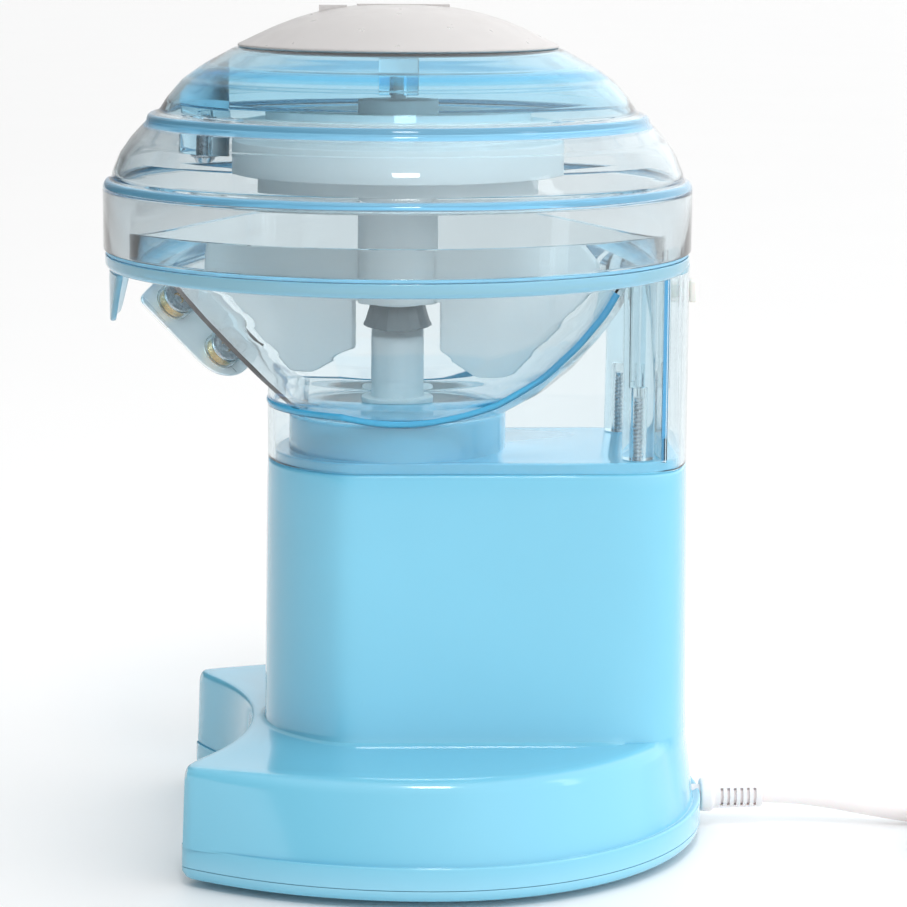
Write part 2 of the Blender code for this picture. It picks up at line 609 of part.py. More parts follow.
def build_lid():
    lid = turn("lid_dome", [*LID_OUTER, *LID_INNER], "clear", FINE)
    boss_place = (0, -77 * MM)
    boss = turn("lid_boss", rod_profile(10, 279, 318), None, MEDIUM, boss_place)
    fill = ((0, 270), (93.8, 270), (93.8, 294.8), (90.9, 299.8), (84.5, 307.1), (76.3, 313), (68.5, 317.1),
            (64, 319.5), (0, 319.5))
    combine(boss, turn("lid_fill", fill, None, FINE), "INTERSECT")
    combine(lid, boss, "UNION")
    combine(lid, block("lid_tab", (-3.6, 108.4, 241.5), (3.6, 115.9, 248), None), "UNION")
    combine(lid, turn("boss_bore", rod_profile(2.2, 270, 292), None, COARSE, boss_place), "DIFFERENCE")
    turn("lid_boss_washer", ring_profile(2.3, 5.6, 277.4, 278.7), "steel", MEDIUM, boss_place)
    screw("lid_boss_screw", boss_place, (4.4, 274.9, 277.1), (1.9, 290))
    cap_bottom = (LID_TOP + GAP) / MM
    radius = CAP_RADIUS / MM
    apex = MACHINE_TOP / MM
    cap = ((radius, cap_bottom), (radius, 324), (62.6, 326.5), (58, 329.6), (48, 333.2), (34, 336),
           (18, apex - 0.4), (0, apex), (0, apex - 2.4), (17.8, apex - 2.8), (33.2, 333.6), (46.8, 330.9),
           (56, 327.7), (60.6, 325), (61.1, cap_bottom))
    turn("lid_cap", cap, "frosted", FINE)
    bearing = turn("lid_bearing", rod_profile(17, cap_bottom, 323.6), "clear")
    combine(bearing, block("bearing_column", (-7.8, -7.8, 302.5), (7.8, 7.8, 322), None), "UNION")
    combine(bearing, turn("bearing_bore", rod_profile(3.4, 300, 311), None, COARSE), "DIFFERENCE")
    turn("rim_gasket", ring_profile(112.9, 116.2, 239.9, 240.9), "milky", FINE)


# ---------------------------------------------------------------- interlock and switch


def build_interlock():
    rod_bottom, rod_top, radius = ROD_BOTTOM / MM, ROD_TOP / MM, ROD_RADIUS / MM
    rod = ((0, rod_bottom), (radius, rod_bottom), (radius, 154), (2.8, 154), (2.8, 155.6), (radius, 155.6),
           (radius, rod_top), (0, rod_top))
    turn("interlock_rod", rod, "white", COARSE, (0, ROD_Y))
    y = SLIDER_Y / MM
    slider_low, slider_high = (-2.6, y - 1.2, rod_top + 0.3), (2.6, y + 1.2, SLIDER_TOP / MM)
    slider = block("interlock_slider", slider_low, slider_high, "clear")
    combine(slider, block("slider_foot", (-2.2, 105, rod_top + 0.3), (2.2, y, rod_top + 3.3), None), "UNION")
    knob = block("interlock_knob", (-3.8, 117.1, 219.5), (3.8, 120.6, 228.5), "white")
    combine(knob, block("knob_stem", (-2, y + 1.5, 221.5), (2, 118, 226.5), None), "UNION")
    spring = bpy.data.curves.new("interlock_spring", "CURVE")
    spring.dimensions = "3D"
    turns, start, end, reach = 3.5, 147.9 * MM, 153.6 * MM, 2.2 * MM
    steps = int(turns * SPRING_FACETS)
    line = spring.splines.new("POLY")
    line.points.add(steps)
    for step, point in enumerate(line.points):
        angle = 2 * math.pi * turns * step / steps
        height = start + (end - start) * step / steps
        point.co = (math.cos(angle) * reach, ROD_Y + math.sin(angle) * reach, height, 1)
    make_tube("interlock_spring", spring, 0.25 * MM, 1, "steel")


def build_switch():
    profile = ((58, 157.7), (74, 157.7), (74, 147.5), (110, 147.5), (110, 146), (72.5, 146),
               (72.5, 156.2), (58, 156.2))
    bracket = extrude("switch_bracket", [(a * MM, b * MM) for a, b in profile], -8 * MM, 8 * MM, "steel")
    combine(bracket, turn("rod_hole", rod_profile(2.1, 140, 152), None, COARSE, (0, ROD_Y)), "DIFFERENCE")
    bracket_hole = turn("bracket_hole", rod_profile(2.0, 150, 162), None, COARSE, (0, 64 * MM))
    combine(bracket, bracket_hole, "DIFFERENCE")
    screw("bracket_screw", (0, 64 * MM), (3.2, 153.2, 155.9), (1.6, 159.6))
    body = ((74.5, 145.7), (82, 145.7), (82, 131), (104, 131), (104, 118), (74.5, 118))
    switch = extrude("micro_switch", [(a * MM, b * MM) for a, b in body], -4 * MM, 4 * MM, "dark")
    plunger_hole = turn("plunger_hole", rod_profile(1.5, 127, 140), None, COARSE, (0, 90 * MM))
    combine(switch, plunger_hole, "DIFFERENCE")
    turn("switch_plunger", rod_profile(1.2, 128.5, 135.6), "white", COARSE, (0, 90 * MM))
    block("switch_lever", (-2.5, LEVER_PIVOT_Y / MM - 0.9, 135.9), (2.5, 108.8, 136.6), "steel")


# ---------------------------------------------------------------- mains lead


def cord_frame():
    """Z along the lead where it leaves the rear of the foot."""
    return Matrix.Translation((0, 0, CORD_EXIT_Z)) @ Matrix.Rotation(-math.pi / 2, 4, "X")


def make_tube(name, curve, radius, resolution, look):
    curve.bevel_depth = radius
    curve.bevel_resolution = resolution
    curve.use_fill_caps = True
    item = bpy.data.objects.new(name, curve)
    bpy.context.scene.collection.objects.link(item)
    give_look(item, look)


CORD_ROUTE = ((112, 13.5), (126, 13.5), (140, 13.5), (152, 13.4), (166, 12.7), (181, 10.6), (196, 7.7),
              (210, 5.2), (222, 3.8), (233.6, 3.6))


def smooth_route(points, spacing):
    """Points of a smooth curve through the route's (y, z) in mm, about a spacing apart."""
    places = [Vector((0, y, z)) * MM for y, z in points]
    result = []
    for here in range(len(places) - 1):
        before = places[max(here - 1, 0)]
        first, second = places[here], places[here + 1]
        after = places[min(here + 2, len(places) - 1)]
        steps = max(1, round((second - first).length / spacing))
        for step in range(steps):
            t = step / steps
            start_pull, end_pull = (second - before) / 2, (after - first) / 2
            blend = (2 * t ** 3 - 3 * t ** 2 + 1, t ** 3 - 2 * t ** 2 + t,
                     -2 * t ** 3 + 3 * t ** 2, t ** 3 - t ** 2)
            result.append(first * blend[0] + start_pull * blend[1] + second * blend[2] + end_pull * blend[3])
    return [*result, places[-1]]


def build_cord():
    relief = ((3.8, 114.4), (6, 114.4), (6, 117.6), (4.4, 117.6), (4.4, 125.9), (7, 125.9), (7, 130.5),
              (5.6, 131.5), (5.0, 141), (4.5, 152), (3.8, 152))
    turn("strain_relief", relief, "white", MEDIUM, frame=cord_frame())
    curve = bpy.data.curves.new("cord_tube", "CURVE")
    curve.dimensions = "3D"
    points = smooth_route(CORD_ROUTE, 2.4 * CORD_RADIUS * 2)
    line = curve.splines.new("POLY")
    line.points.add(len(points) - 1)
    for point, place in zip(line.points, points):
        point.co = (*place, 1)
    make_tube("cord_tube", curve, CORD_RADIUS, 2, "white")
    half = 2 * CORD_RADIUS / MM + 0.1
    middle = COIL_RADIUS / MM
    coil = ring_profile(middle - half, middle + half, 0.2, 0.2 + 2 * half)
    turn("cord_coil", coil, "white", FINE, COIL_CENTRE)
    build_plug()


def build_plug():
    """A flat two-pin plug lying beside the coil, its sleeve in line with the last turn."""
    x = COIL_CENTRE[0] - COIL_RADIUS - CORD_RADIUS
    z = PLUG_HEIGHT
    sections = ((26, 4.0, 4.0, 2), (33, 5.2, 5.2, 2), (35.5, 11, 6.6, 3), (38, 12, 7.4, 4), (64, 12, 7.4, 4),
                (67, 11, 6.6, 4))
    rings = []
    for beyond, half_width, half_height, power in sections:
        y = COIL_CENTRE[1] + beyond * MM
        ring = []
        for step in range(PLUG_FACETS):
            angle = 2 * math.pi * step / PLUG_FACETS
            cos, sin = math.cos(angle), math.sin(angle)
            across = math.copysign(abs(cos) ** (2 / power), cos) * half_width * MM
            up = math.copysign(abs(sin) ** (2 / power), sin) * half_height * MM
            ring.append(Vector((x + across, y, z + up)))
        rings.append(ring)
    skin("plug_body", rings, "white", closed=False)
    start = COIL_CENTRE[1] / MM + 67.3
    height = z / MM
    for number, side in enumerate((-1, 1), 1):
        pin_x = (x + side * PIN_SPACING / 2) / MM
        low = (pin_x - 0.75, start, height - 3.2)
        block(f"plug_pin_{number}", low, (pin_x + 0.75, start + 17.2, height + 3.2), "brass")


# ---------------------------------------------------------------- assembly


def move_origin(item, place):
    """Puts the item's origin at a place, with the shape left where it is."""
    item.data.transform(Matrix.Translation(-place))
    item.location = place


def build_machine():
    build_base()
    build_underside()
    build_motor()
    build_rotor()
    build_paddle()
    build_housing()
    build_blade()
    build_deflector()
    build_lid()
    build_interlock()
    build_switch()
    build_cord()
    pivots = {
        "switch_lever": Vector((0, LEVER_PIVOT_Y, 136.25 * MM)),
        "interlock_rod": Vector((0, ROD_Y, ROD_BOTTOM)),
        "switch_plunger": Vector((0, 90 * MM, 135.6 * MM)),
    }
    for name, place in pivots.items():
        move_origin(bpy.data.objects[name], place)
    for item in bpy.data.objects:
        item.location.y += AXIS_Y


clear_scene()
build_machine()
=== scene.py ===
"""Looks of a countertop shaved ice machine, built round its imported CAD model.

Outlines are in millimetres from the main axis, the vertical line that the hopper, lid, paddle and motor
share. Heights are above the table. The front faces -Y.
"""

import json
import math

import bmesh
import bpy
from mathutils import Matrix, Vector

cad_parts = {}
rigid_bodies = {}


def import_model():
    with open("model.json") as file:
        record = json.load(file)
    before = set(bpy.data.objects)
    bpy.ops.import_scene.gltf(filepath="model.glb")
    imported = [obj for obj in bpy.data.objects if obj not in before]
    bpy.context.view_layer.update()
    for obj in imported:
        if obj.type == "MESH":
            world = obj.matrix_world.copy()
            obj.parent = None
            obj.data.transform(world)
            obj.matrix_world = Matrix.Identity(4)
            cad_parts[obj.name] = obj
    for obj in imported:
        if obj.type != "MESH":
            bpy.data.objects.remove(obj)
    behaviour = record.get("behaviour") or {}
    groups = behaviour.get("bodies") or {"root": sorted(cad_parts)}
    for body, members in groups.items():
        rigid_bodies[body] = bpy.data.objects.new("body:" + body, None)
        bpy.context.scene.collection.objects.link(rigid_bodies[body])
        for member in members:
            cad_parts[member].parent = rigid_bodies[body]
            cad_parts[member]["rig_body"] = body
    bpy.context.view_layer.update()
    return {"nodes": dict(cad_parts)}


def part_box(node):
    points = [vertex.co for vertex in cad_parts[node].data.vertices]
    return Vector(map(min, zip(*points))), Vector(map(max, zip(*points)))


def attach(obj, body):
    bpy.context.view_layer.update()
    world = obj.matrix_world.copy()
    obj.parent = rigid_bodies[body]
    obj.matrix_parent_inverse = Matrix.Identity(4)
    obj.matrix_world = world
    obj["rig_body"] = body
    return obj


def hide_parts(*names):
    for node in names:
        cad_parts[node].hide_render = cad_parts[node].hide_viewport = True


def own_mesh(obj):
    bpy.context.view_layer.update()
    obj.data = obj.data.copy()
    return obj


MM = 0.001
UP = Vector((0, 0, 1))
RIGHT = Vector((1, 0, 0))
SMOOTH, ROUND, SMALL = 144, 64, 32          # facets round large, middling and small pieces
SHARP = 32

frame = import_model()


# ---- places taken from the frame


AXIS = Vector((0, sum(corner.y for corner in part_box("lid_dome")) / 2, 0))


def extent(node):
    """A CAD node's lowest and highest corner, in mm from the main axis."""
    low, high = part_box(node)
    return (low - AXIS) / MM, (high - AXIS) / MM


def middle(node):
    low, high = extent(node)
    return (low + high) / 2


FOOT_LOW, FOOT_HIGH = extent("base_housing")
PLATE_LOW, PLATE_HIGH = extent("bottom_plate")
HOPPER_LOW, HOPPER_HIGH = extent("upper_housing")
CAP_LOW, CAP_HIGH = extent("lid_cap")
SLIDER_TOP = extent("interlock_slider")[1]
ROD = middle("interlock_rod")

FOOT_RADIUS = FOOT_HIGH.x
FOOT_CENTRE_Y = FOOT_HIGH.y - FOOT_RADIUS
FOOT_SIDE_RADIUS = 167.0
FOOT_SIDE_SPREAD = 7.3
SCOOP_RADIUS = 122.0
SCOOP_BACK_Y = -62.0
FOOT_TOP = 48.6
FLANGE_TOP = 16.4
TOWER_FRONT, TOWER_REAR = 53.8, 118.3
TOWER_HALF_WIDTH = 48.5
TOWER_DRAFT = 1.5
TOWER_TOP = HOPPER_LOW.z - 0.3
DECK_TOP = 161.0
CLEAR_WALL = 2.5
NECK_RADIUS = 43.8
NECK_TOP = FOOT_HIGH.z

SLANT_TOP = Vector((0, -87.05, 228.37))
SLANT_BOTTOM = Vector((0, -56.45, 196.37))
SLANT = (SLANT_BOTTOM - SLANT_TOP).normalized()
INWARD = Vector((0, -SLANT.z, SLANT.y))
BLADE_TILT = math.radians(38)
BLADE_OUT = math.cos(BLADE_TILT) * -RIGHT + math.sin(BLADE_TILT) * INWARD
BLADE_FACE = math.sin(BLADE_TILT) * RIGHT + math.cos(BLADE_TILT) * INWARD
BLADE_LENGTH, BLADE_WIDTH, BLADE_THICKNESS = 52.0, 33.0, 1.2
BLADE_MIDDLE = 18.0
BLADE_EDGE_X = -9.5
BLADE_EDGE_IN = 4.1
FACET_THICKNESS = 3.5
INSERT_SPACING = 27.0
INSERT_OFFSET = 21.2
INSERT_RADIUS = 6.4
BOSS_RADIUS = 7.5
BOSS_LENGTH = 14.0


# ---- camera, light and floor


def add_object(name, data):
    """Puts a new object in the scene."""
    item = bpy.data.objects.new(name, data)
    bpy.context.scene.collection.objects.link(item)
    return item


def make_camera():
    """The photo's camera, with its place in mm from the main axis and its three angles in degrees."""
    place = Vector((1211.8, -32.4, 366.4))
    pitch, yaw, roll = (math.radians(angle) for angle in (9.781, -2.610, 0.367))
    ahead = Vector((-math.cos(pitch) * math.cos(yaw), -math.cos(pitch) * math.sin(yaw), -math.sin(pitch)))
    right = ahead.cross(UP).normalized()
    level = Matrix((right, right.cross(ahead), -ahead)).transposed()
    turned = level @ Matrix.Rotation(roll, 3, "Z")
    data = bpy.data.cameras.new("camera")
    data.lens = 120.43
    data.sensor_width = 36
    data.clip_end = 100
    camera = add_object("camera", data)
    camera.matrix_world = Matrix.Translation(AXIS + place * MM) @ turned.to_4x4()
    bpy.context.scene.camera = camera


def softbox(name, place, size, power):
    """A rectangular lamp that faces the machine."""
    data = bpy.data.lights.new(name, "AREA")
    data.shape = "RECTANGLE"
    data.size, data.size_y = size
    data.energy = power
    light = add_object(name, data)
    aim = Vector((0, 0, 0.2)) - Vector(place)
    light.rotation_euler = aim.to_track_quat("-Z", "Y").to_euler()
    light.location = place


def make_world():
    """A white surround that is brighter behind the machine and dimmer in front of it."""
    world = bpy.data.worlds.new("studio")
    wiring = Wiring(world)
    way = wiring.add("TexCoord").outputs["Generated"]
    split = wiring.add("SeparateXYZ", {"Vector": way}).outputs
    either_side = wiring.maths("ABSOLUTE", split["X"])
    folded = wiring.add("CombineXYZ", {"X": either_side, "Y": split["Y"], "Z": split["Z"]}).outputs["Vector"]
    brightest = Vector((0.3, 0.8, 0.55)).normalized()
    facing = wiring.add("VectorMath", {0: folded, 1: brightest}, operation="DOT_PRODUCT").outputs["Value"]
    backdrop = wiring.nodes["Background"]
    wiring.feed(backdrop.inputs["Color"], (1, 1, 1))
    wiring.feed(backdrop.inputs["Strength"], wiring.remap(facing, -0.26, 0.80, 0.04, 1.45, "SMOOTHSTEP"))
    bpy.context.scene.world = world


def make_stage():
    make_world()
    bpy.context.scene.view_settings.view_transform = "Standard"
    softbox("key", (1.3, 0.05, 1.8), (0.3, 0.45), 9)
    softbox("strip", (0.8, 1.5, 0.8), (0.25, 1.0), 1.5)
    builder = bmesh.new()
    bmesh.ops.create_grid(builder, x_segments=1, y_segments=1, size=40 / MM)
    floor = finish_mesh("floor", builder)
    pale = surface("pale_floor", (0.93, 0.93, 0.93), 0.6, scale=3, spread=0.003, uneven=0.05)
    floor.data.materials.append(pale)


# ---- mesh building


def finish_mesh(name, builder, sharp=SHARP):
    """An object from a bmesh in mm from the main axis, with its faces pointing out."""
    bmesh.ops.recalc_face_normals(builder, faces=builder.faces)
    builder.transform(Matrix.Translation(AXIS) @ Matrix.Scale(MM, 4))
    mesh = bpy.data.meshes.new(name)
    builder.to_mesh(mesh)
    builder.free()
    item = add_object(name, mesh)
    shade(item, sharp)
    return item


def shade(item, sharp=SHARP):
    """Smooth faces, with hard edges where they meet at more than this many degrees."""
    item.data.shade_smooth()
    item.data.set_sharp_from_angle(angle=math.radians(sharp))


def rounded(points, radius, steps=4, closed=True):
    """An outline with its corners rounded. The radius is one number, or one for each point."""
    count = len(points)
    radii = [radius] * count if isinstance(radius, (int, float)) else radius
    result = []
    for here, point in enumerate(points):
        corner = Vector(point)
        before, after = Vector(points[here - 1]), Vector(points[(here + 1) % count])
        end = not closed and here in (0, count - 1)
        if end or radii[here] == 0 or corner.x == 0:
            result.append(tuple(corner))
            continue
        room = min((before - corner).length, (after - corner).length) * 0.48
        back = corner + (before - corner).normalized() * min(radii[here], room)
        ahead = corner + (after - corner).normalized() * min(radii[here], room)
        for step in range(steps + 1):
            t = step / steps
            place = back * (1 - t) ** 2 + corner * 2 * t * (1 - t) + ahead * t ** 2
            result.append(tuple(place))
    return result


def skin(name, rings, closed=False):
    """A skin over rings of equally many points: closed end to end, or with both ends capped."""
    builder = bmesh.new()
    rows = [[builder.verts.new(point) for point in ring] for ring in rings]
    pairs = list(zip(rows, rows[1:]))
    if closed:
        pairs.append((rows[-1], rows[0]))
    else:
        builder.faces.new(rows[0])
        builder.faces.new(rows[-1])
    for lower, upper in pairs:
        for here in range(len(lower)):
            after = (here + 1) % len(lower)
            builder.faces.new((lower[here], lower[after], upper[after], upper[here]))
    return finish_mesh(name, builder)


def lathe(name, profile, facets=ROUND, place=(0, 0), turned=None, swell=None, sharp=SHARP):
    """A solid turned round Z from a closed outline of (radius, height).

    swell(angle, height) adds to the radius.
    """
    builder = bmesh.new()
    turned = turned or Matrix.Translation((place[0], place[1], 0))
    rows = []
    for radius, height in profile:
        count = 1 if radius == 0 else facets
        row = []
        for step in range(count):
            angle = 2 * math.pi * step / count
            reach = radius + (swell(angle, height) if swell and radius else 0)
            point = Vector((math.cos(angle) * reach, math.sin(angle) * reach, height))
            row.append(builder.verts.new(turned @ point))
        rows.append(row)
    for here, after in zip(rows, rows[1:] + rows[:1]):
        for step in range(facets):
            corners = [row[step % len(row)] for row in (here, after)]
            following = [row[(step + 1) % len(row)] for row in (after, here)]
            ring = list(dict.fromkeys(corners + following))
            if len(ring) > 2:
                builder.faces.new(ring)
    return finish_mesh(name, builder, sharp)


def prism(name, outline, start, end, across=RIGHT, along=Vector((0, 1, 0)), up=UP, origin=Vector()):
    """A flat outline of (along, up) drawn out across from start to end."""
    rings = [[origin + across * reach + along * a + up * b for a, b in outline] for reach in (start, end)]
    return skin(name, rings)


def block(name, low, high, bevel=0.0, **axes):
    """A box from its lowest corner to its highest, with its edges rounded, along the axes of a prism."""
    outline = ((low[1], low[2]), (high[1], low[2]), (high[1], high[2]), (low[1], high[2]))
    item = prism(name, outline, low[0], high[0], **axes)
    if bevel:
        soften(item, bevel)
    return item


def bake_modifiers(item):
    """Applies the item's modifiers."""
    graph = bpy.context.evaluated_depsgraph_get()
    mesh = bpy.data.meshes.new_from_object(item.evaluated_get(graph))
    item.modifiers.clear()
    item.data = mesh
    shade(item)


def soften(item, width, steps=3):
    """Rounds the item's sharp edges."""
    change = item.modifiers.new("soften", "BEVEL")
    change.width = width * MM
    change.segments = steps
    change.limit_method = "ANGLE"
    change.angle_limit = math.radians(30)
    bake_modifiers(item)


def combine(item, other, operation="DIFFERENCE"):
    """Cuts the other object out of the item, or joins it on, and removes the other."""
    change = item.modifiers.new("combine", "BOOLEAN")
    change.operation = operation
    change.solver = "MANIFOLD"
    change.object = other
    bake_modifiers(item)
    bpy.data.objects.remove(other)
    return item


def join(item, other):
    return combine(item, other, "UNION")


def post(name, radius, bottom, top, facets=SMALL, place=(0, 0), turned=None, edge=0.0):
    profile = ((0, bottom), (radius, bottom), (radius, top), (0, top))
    return lathe(name, rounded(profile, edge), facets, place, turned)


def tube_profile(inner, outer, bottom, top):
    return rounded(((inner, bottom), (outer, bottom), (outer, top), (inner, top)), 0.3, steps=3)


# ---- materials


class Wiring:
    """Adds nodes to the tree of a material or world and joins them up."""

    def __init__(self, owner):
        owner.use_nodes = True
        self.nodes, self.links = owner.node_tree.nodes, owner.node_tree.links

    def feed(self, socket, value):
        """Links an output to the socket, or sets the socket to a number, vector or colour."""
        if isinstance(value, bpy.types.NodeSocket):
            self.links.new(value, socket)
        else:
            socket.default_value = (*value, 1) if socket.type == "RGBA" else value

    def add(self, kind, inputs=(), **settings):
        """A new node with these settings, and what its inputs are fed, by name or number."""
        node = self.nodes.new("ShaderNode" + kind)
        for setting, value in settings.items():
            setattr(node, setting, value)
        for socket, value in dict(inputs).items():
            self.feed(node.inputs[socket], value)
        return node

    def maths(self, operation, *values):
        return self.add("Math", enumerate(values), operation=operation).outputs["Value"]

    def blend(self, factor, first, second):
        inputs = {"Factor": factor, "A": first, "B": second}
        return self.add("Mix", inputs, data_type="RGBA").outputs["Result"]

    def remap(self, value, start, end, low=0, high=1, curve="LINEAR"):
        """Moves a value from the range start to end into the range low to high."""
        inputs = {"Value": value, "From Min": start, "From Max": end, "To Min": low, "To Max": high}
        return self.add("MapRange", inputs, interpolation_type=curve).outputs["Result"]


def surface(name, colour, roughness, scale=14, spread=0.05, uneven=0.2, grain=600, relief=0.0, wear=0.0,
            stretch=(1, 1, 1), speckle=None, **sockets):
    """A Principled material whose colour, roughness and relief vary over the object.

    scale is that of the broad colour drift and grain that of the fine detail, both per metre. spread and
    uneven are how far colour and roughness vary, as shares. relief is the height of the grain in mm, and
    wear is how much paler the exposed edges are. speckle is a colour that shows in patches.
    """
    material = bpy.data.materials.new(name)
    wiring = Wiring(material)
    shader = wiring.nodes["Principled BSDF"]
    place = wiring.add("TexCoord").outputs["Object"]
    mapped = wiring.add("Mapping", {"Vector": place, "Scale": stretch}).outputs["Vector"]

    def noise(size, detail):
        return wiring.add("TexNoise", {"Vector": mapped, "Scale": size, "Detail": detail}).outputs["Fac"]

    broad, fine = noise(scale, 3), noise(grain, 4)
    dark = tuple(max(0, channel * (1 - spread)) for channel in colour)
    pale = tuple(min(1, channel * (1 + spread)) for channel in colour)
    tint = wiring.blend(wiring.remap(broad, 0.3, 0.7), dark, pale)
    if speckle:
        tint = wiring.blend(wiring.remap(fine, 0.52, 0.72), tint, speckle)
    if wear:
        pointed = wiring.add("NewGeometry").outputs["Pointiness"]
        worn = tuple(min(1, 0.35 + 0.8 * channel) for channel in colour)
        tint = wiring.blend(wiring.remap(pointed, 0.52, 0.62, 0, wear), tint, worn)
    wiring.feed(shader.inputs["Base Color"], tint)
    patches = noise(scale * 5, 5)
    rough = wiring.remap(patches, 0.3, 0.7, roughness * (1 - uneven), roughness * (1 + uneven))
    wiring.feed(shader.inputs["Roughness"], rough)
    if relief:
        bump = wiring.add("Bump", {"Strength": 1, "Distance": relief * MM, "Height": fine})
        wiring.feed(shader.inputs["Normal"], bump.outputs["Normal"])
    for socket, value in sockets.items():
        shader.inputs[socket.replace("_", " ")].default_value = value
    return material


def clear_plastic(name, colour, tint, density, zones=()):
    """A clear moulding: faint flow waves in its skin, and a blue that deepens along thick paths.

    Lamps shine through it onto what it holds.
    """
    material = surface(name, colour, 0.02, scale=16, spread=0.015, uneven=0.6, grain=45, relief=0.008,
                       Transmission_Weight=1.0, IOR=1.47)
    wiring = Wiring(material)
    shader, output = wiring.nodes["Principled BSDF"], wiring.nodes["Material Output"]
    absorb = wiring.add("VolumeAbsorption", {"Color": tint, "Density": density})
    wiring.feed(output.inputs["Volume"], absorb.outputs["Volume"])
    lamp = wiring.add("LightPath").outputs["Is Shadow Ray"]
    passing = wiring.add("BsdfTransparent", {"Color": (0.90, 0.95, 0.97)}).outputs["BSDF"]
    skin_or_lamp = wiring.add("MixShader", {"Fac": lamp, 1: shader.outputs["BSDF"], 2: passing})
    wiring.feed(output.inputs["Surface"], skin_or_lamp.outputs["Shader"])
    if zones:
        add_zones(wiring, shader, zones)
    return material


def add_zones(wiring, shader, zones):
    """Gives rims and steps the glow of the light that leaves a clear moulding there.

    A zone is its lowest and highest height, its smallest radius from the main axis, its colour and how
    clear it is.
    """
    place = wiring.add("TexCoord").outputs["Object"]
    split = wiring.add("SeparateXYZ", {"Vector": place}).outputs
    sides = (split["X"], wiring.maths("SUBTRACT", split["Y"], AXIS.y))
    squares = [wiring.maths("MULTIPLY", side, side) for side in sides]
    radius = wiring.maths("SQRT", wiring.maths("ADD", *squares))
    blur = 0.5 * MM
    clearness = 1.0
    for low, high, inner, zone_colour, clear in zones:
        above = wiring.remap(split["Z"], low * MM - blur, low * MM + blur, curve="SMOOTHSTEP")
        below = wiring.remap(split["Z"], high * MM + blur, high * MM - blur, curve="SMOOTHSTEP")
        outside = wiring.remap(radius, inner * MM - blur, inner * MM + blur, curve="SMOOTHSTEP")
        inside = wiring.maths("MULTIPLY", wiring.maths("MULTIPLY", above, below), outside)
        colour = shader.inputs["Base Color"].links[0].from_socket
        wiring.feed(shader.inputs["Base Color"], wiring.blend(inside, colour, zone_colour))
        clearness = wiring.maths("SUBTRACT", clearness, wiring.maths("MULTIPLY", inside, 1.0 - clear))
    wiring.feed(shader.inputs["Transmission Weight"], clearness)


EDGE_BLUE = (0.20, 0.53, 0.78)
RIM_BLUE = (0.33, 0.66, 0.82)
CROWN_BLUE = (0.66, 0.86, 0.94)
BAND_BLUE = (0.20, 0.62, 0.86)
SHIELD_BLUE = (0.42, 0.68, 0.78)
LID_ZONES = ((290.2, 295.3, 98.0, EDGE_BLUE, 0.4), (266.2, 269.2, 114.5, EDGE_BLUE, 0.4),
             (296.0, 321.5, 10.0, CROWN_BLUE, 1.0), (309.5, 312.6, 60.0, BAND_BLUE, 0.9))
HOPPER_ZONES = ((234.2, 239.8, 99.0, RIM_BLUE, 0.3),)
SHIELD_ZONES = ((205.0, 240.0, 50.0, SHIELD_BLUE, 0.55),)


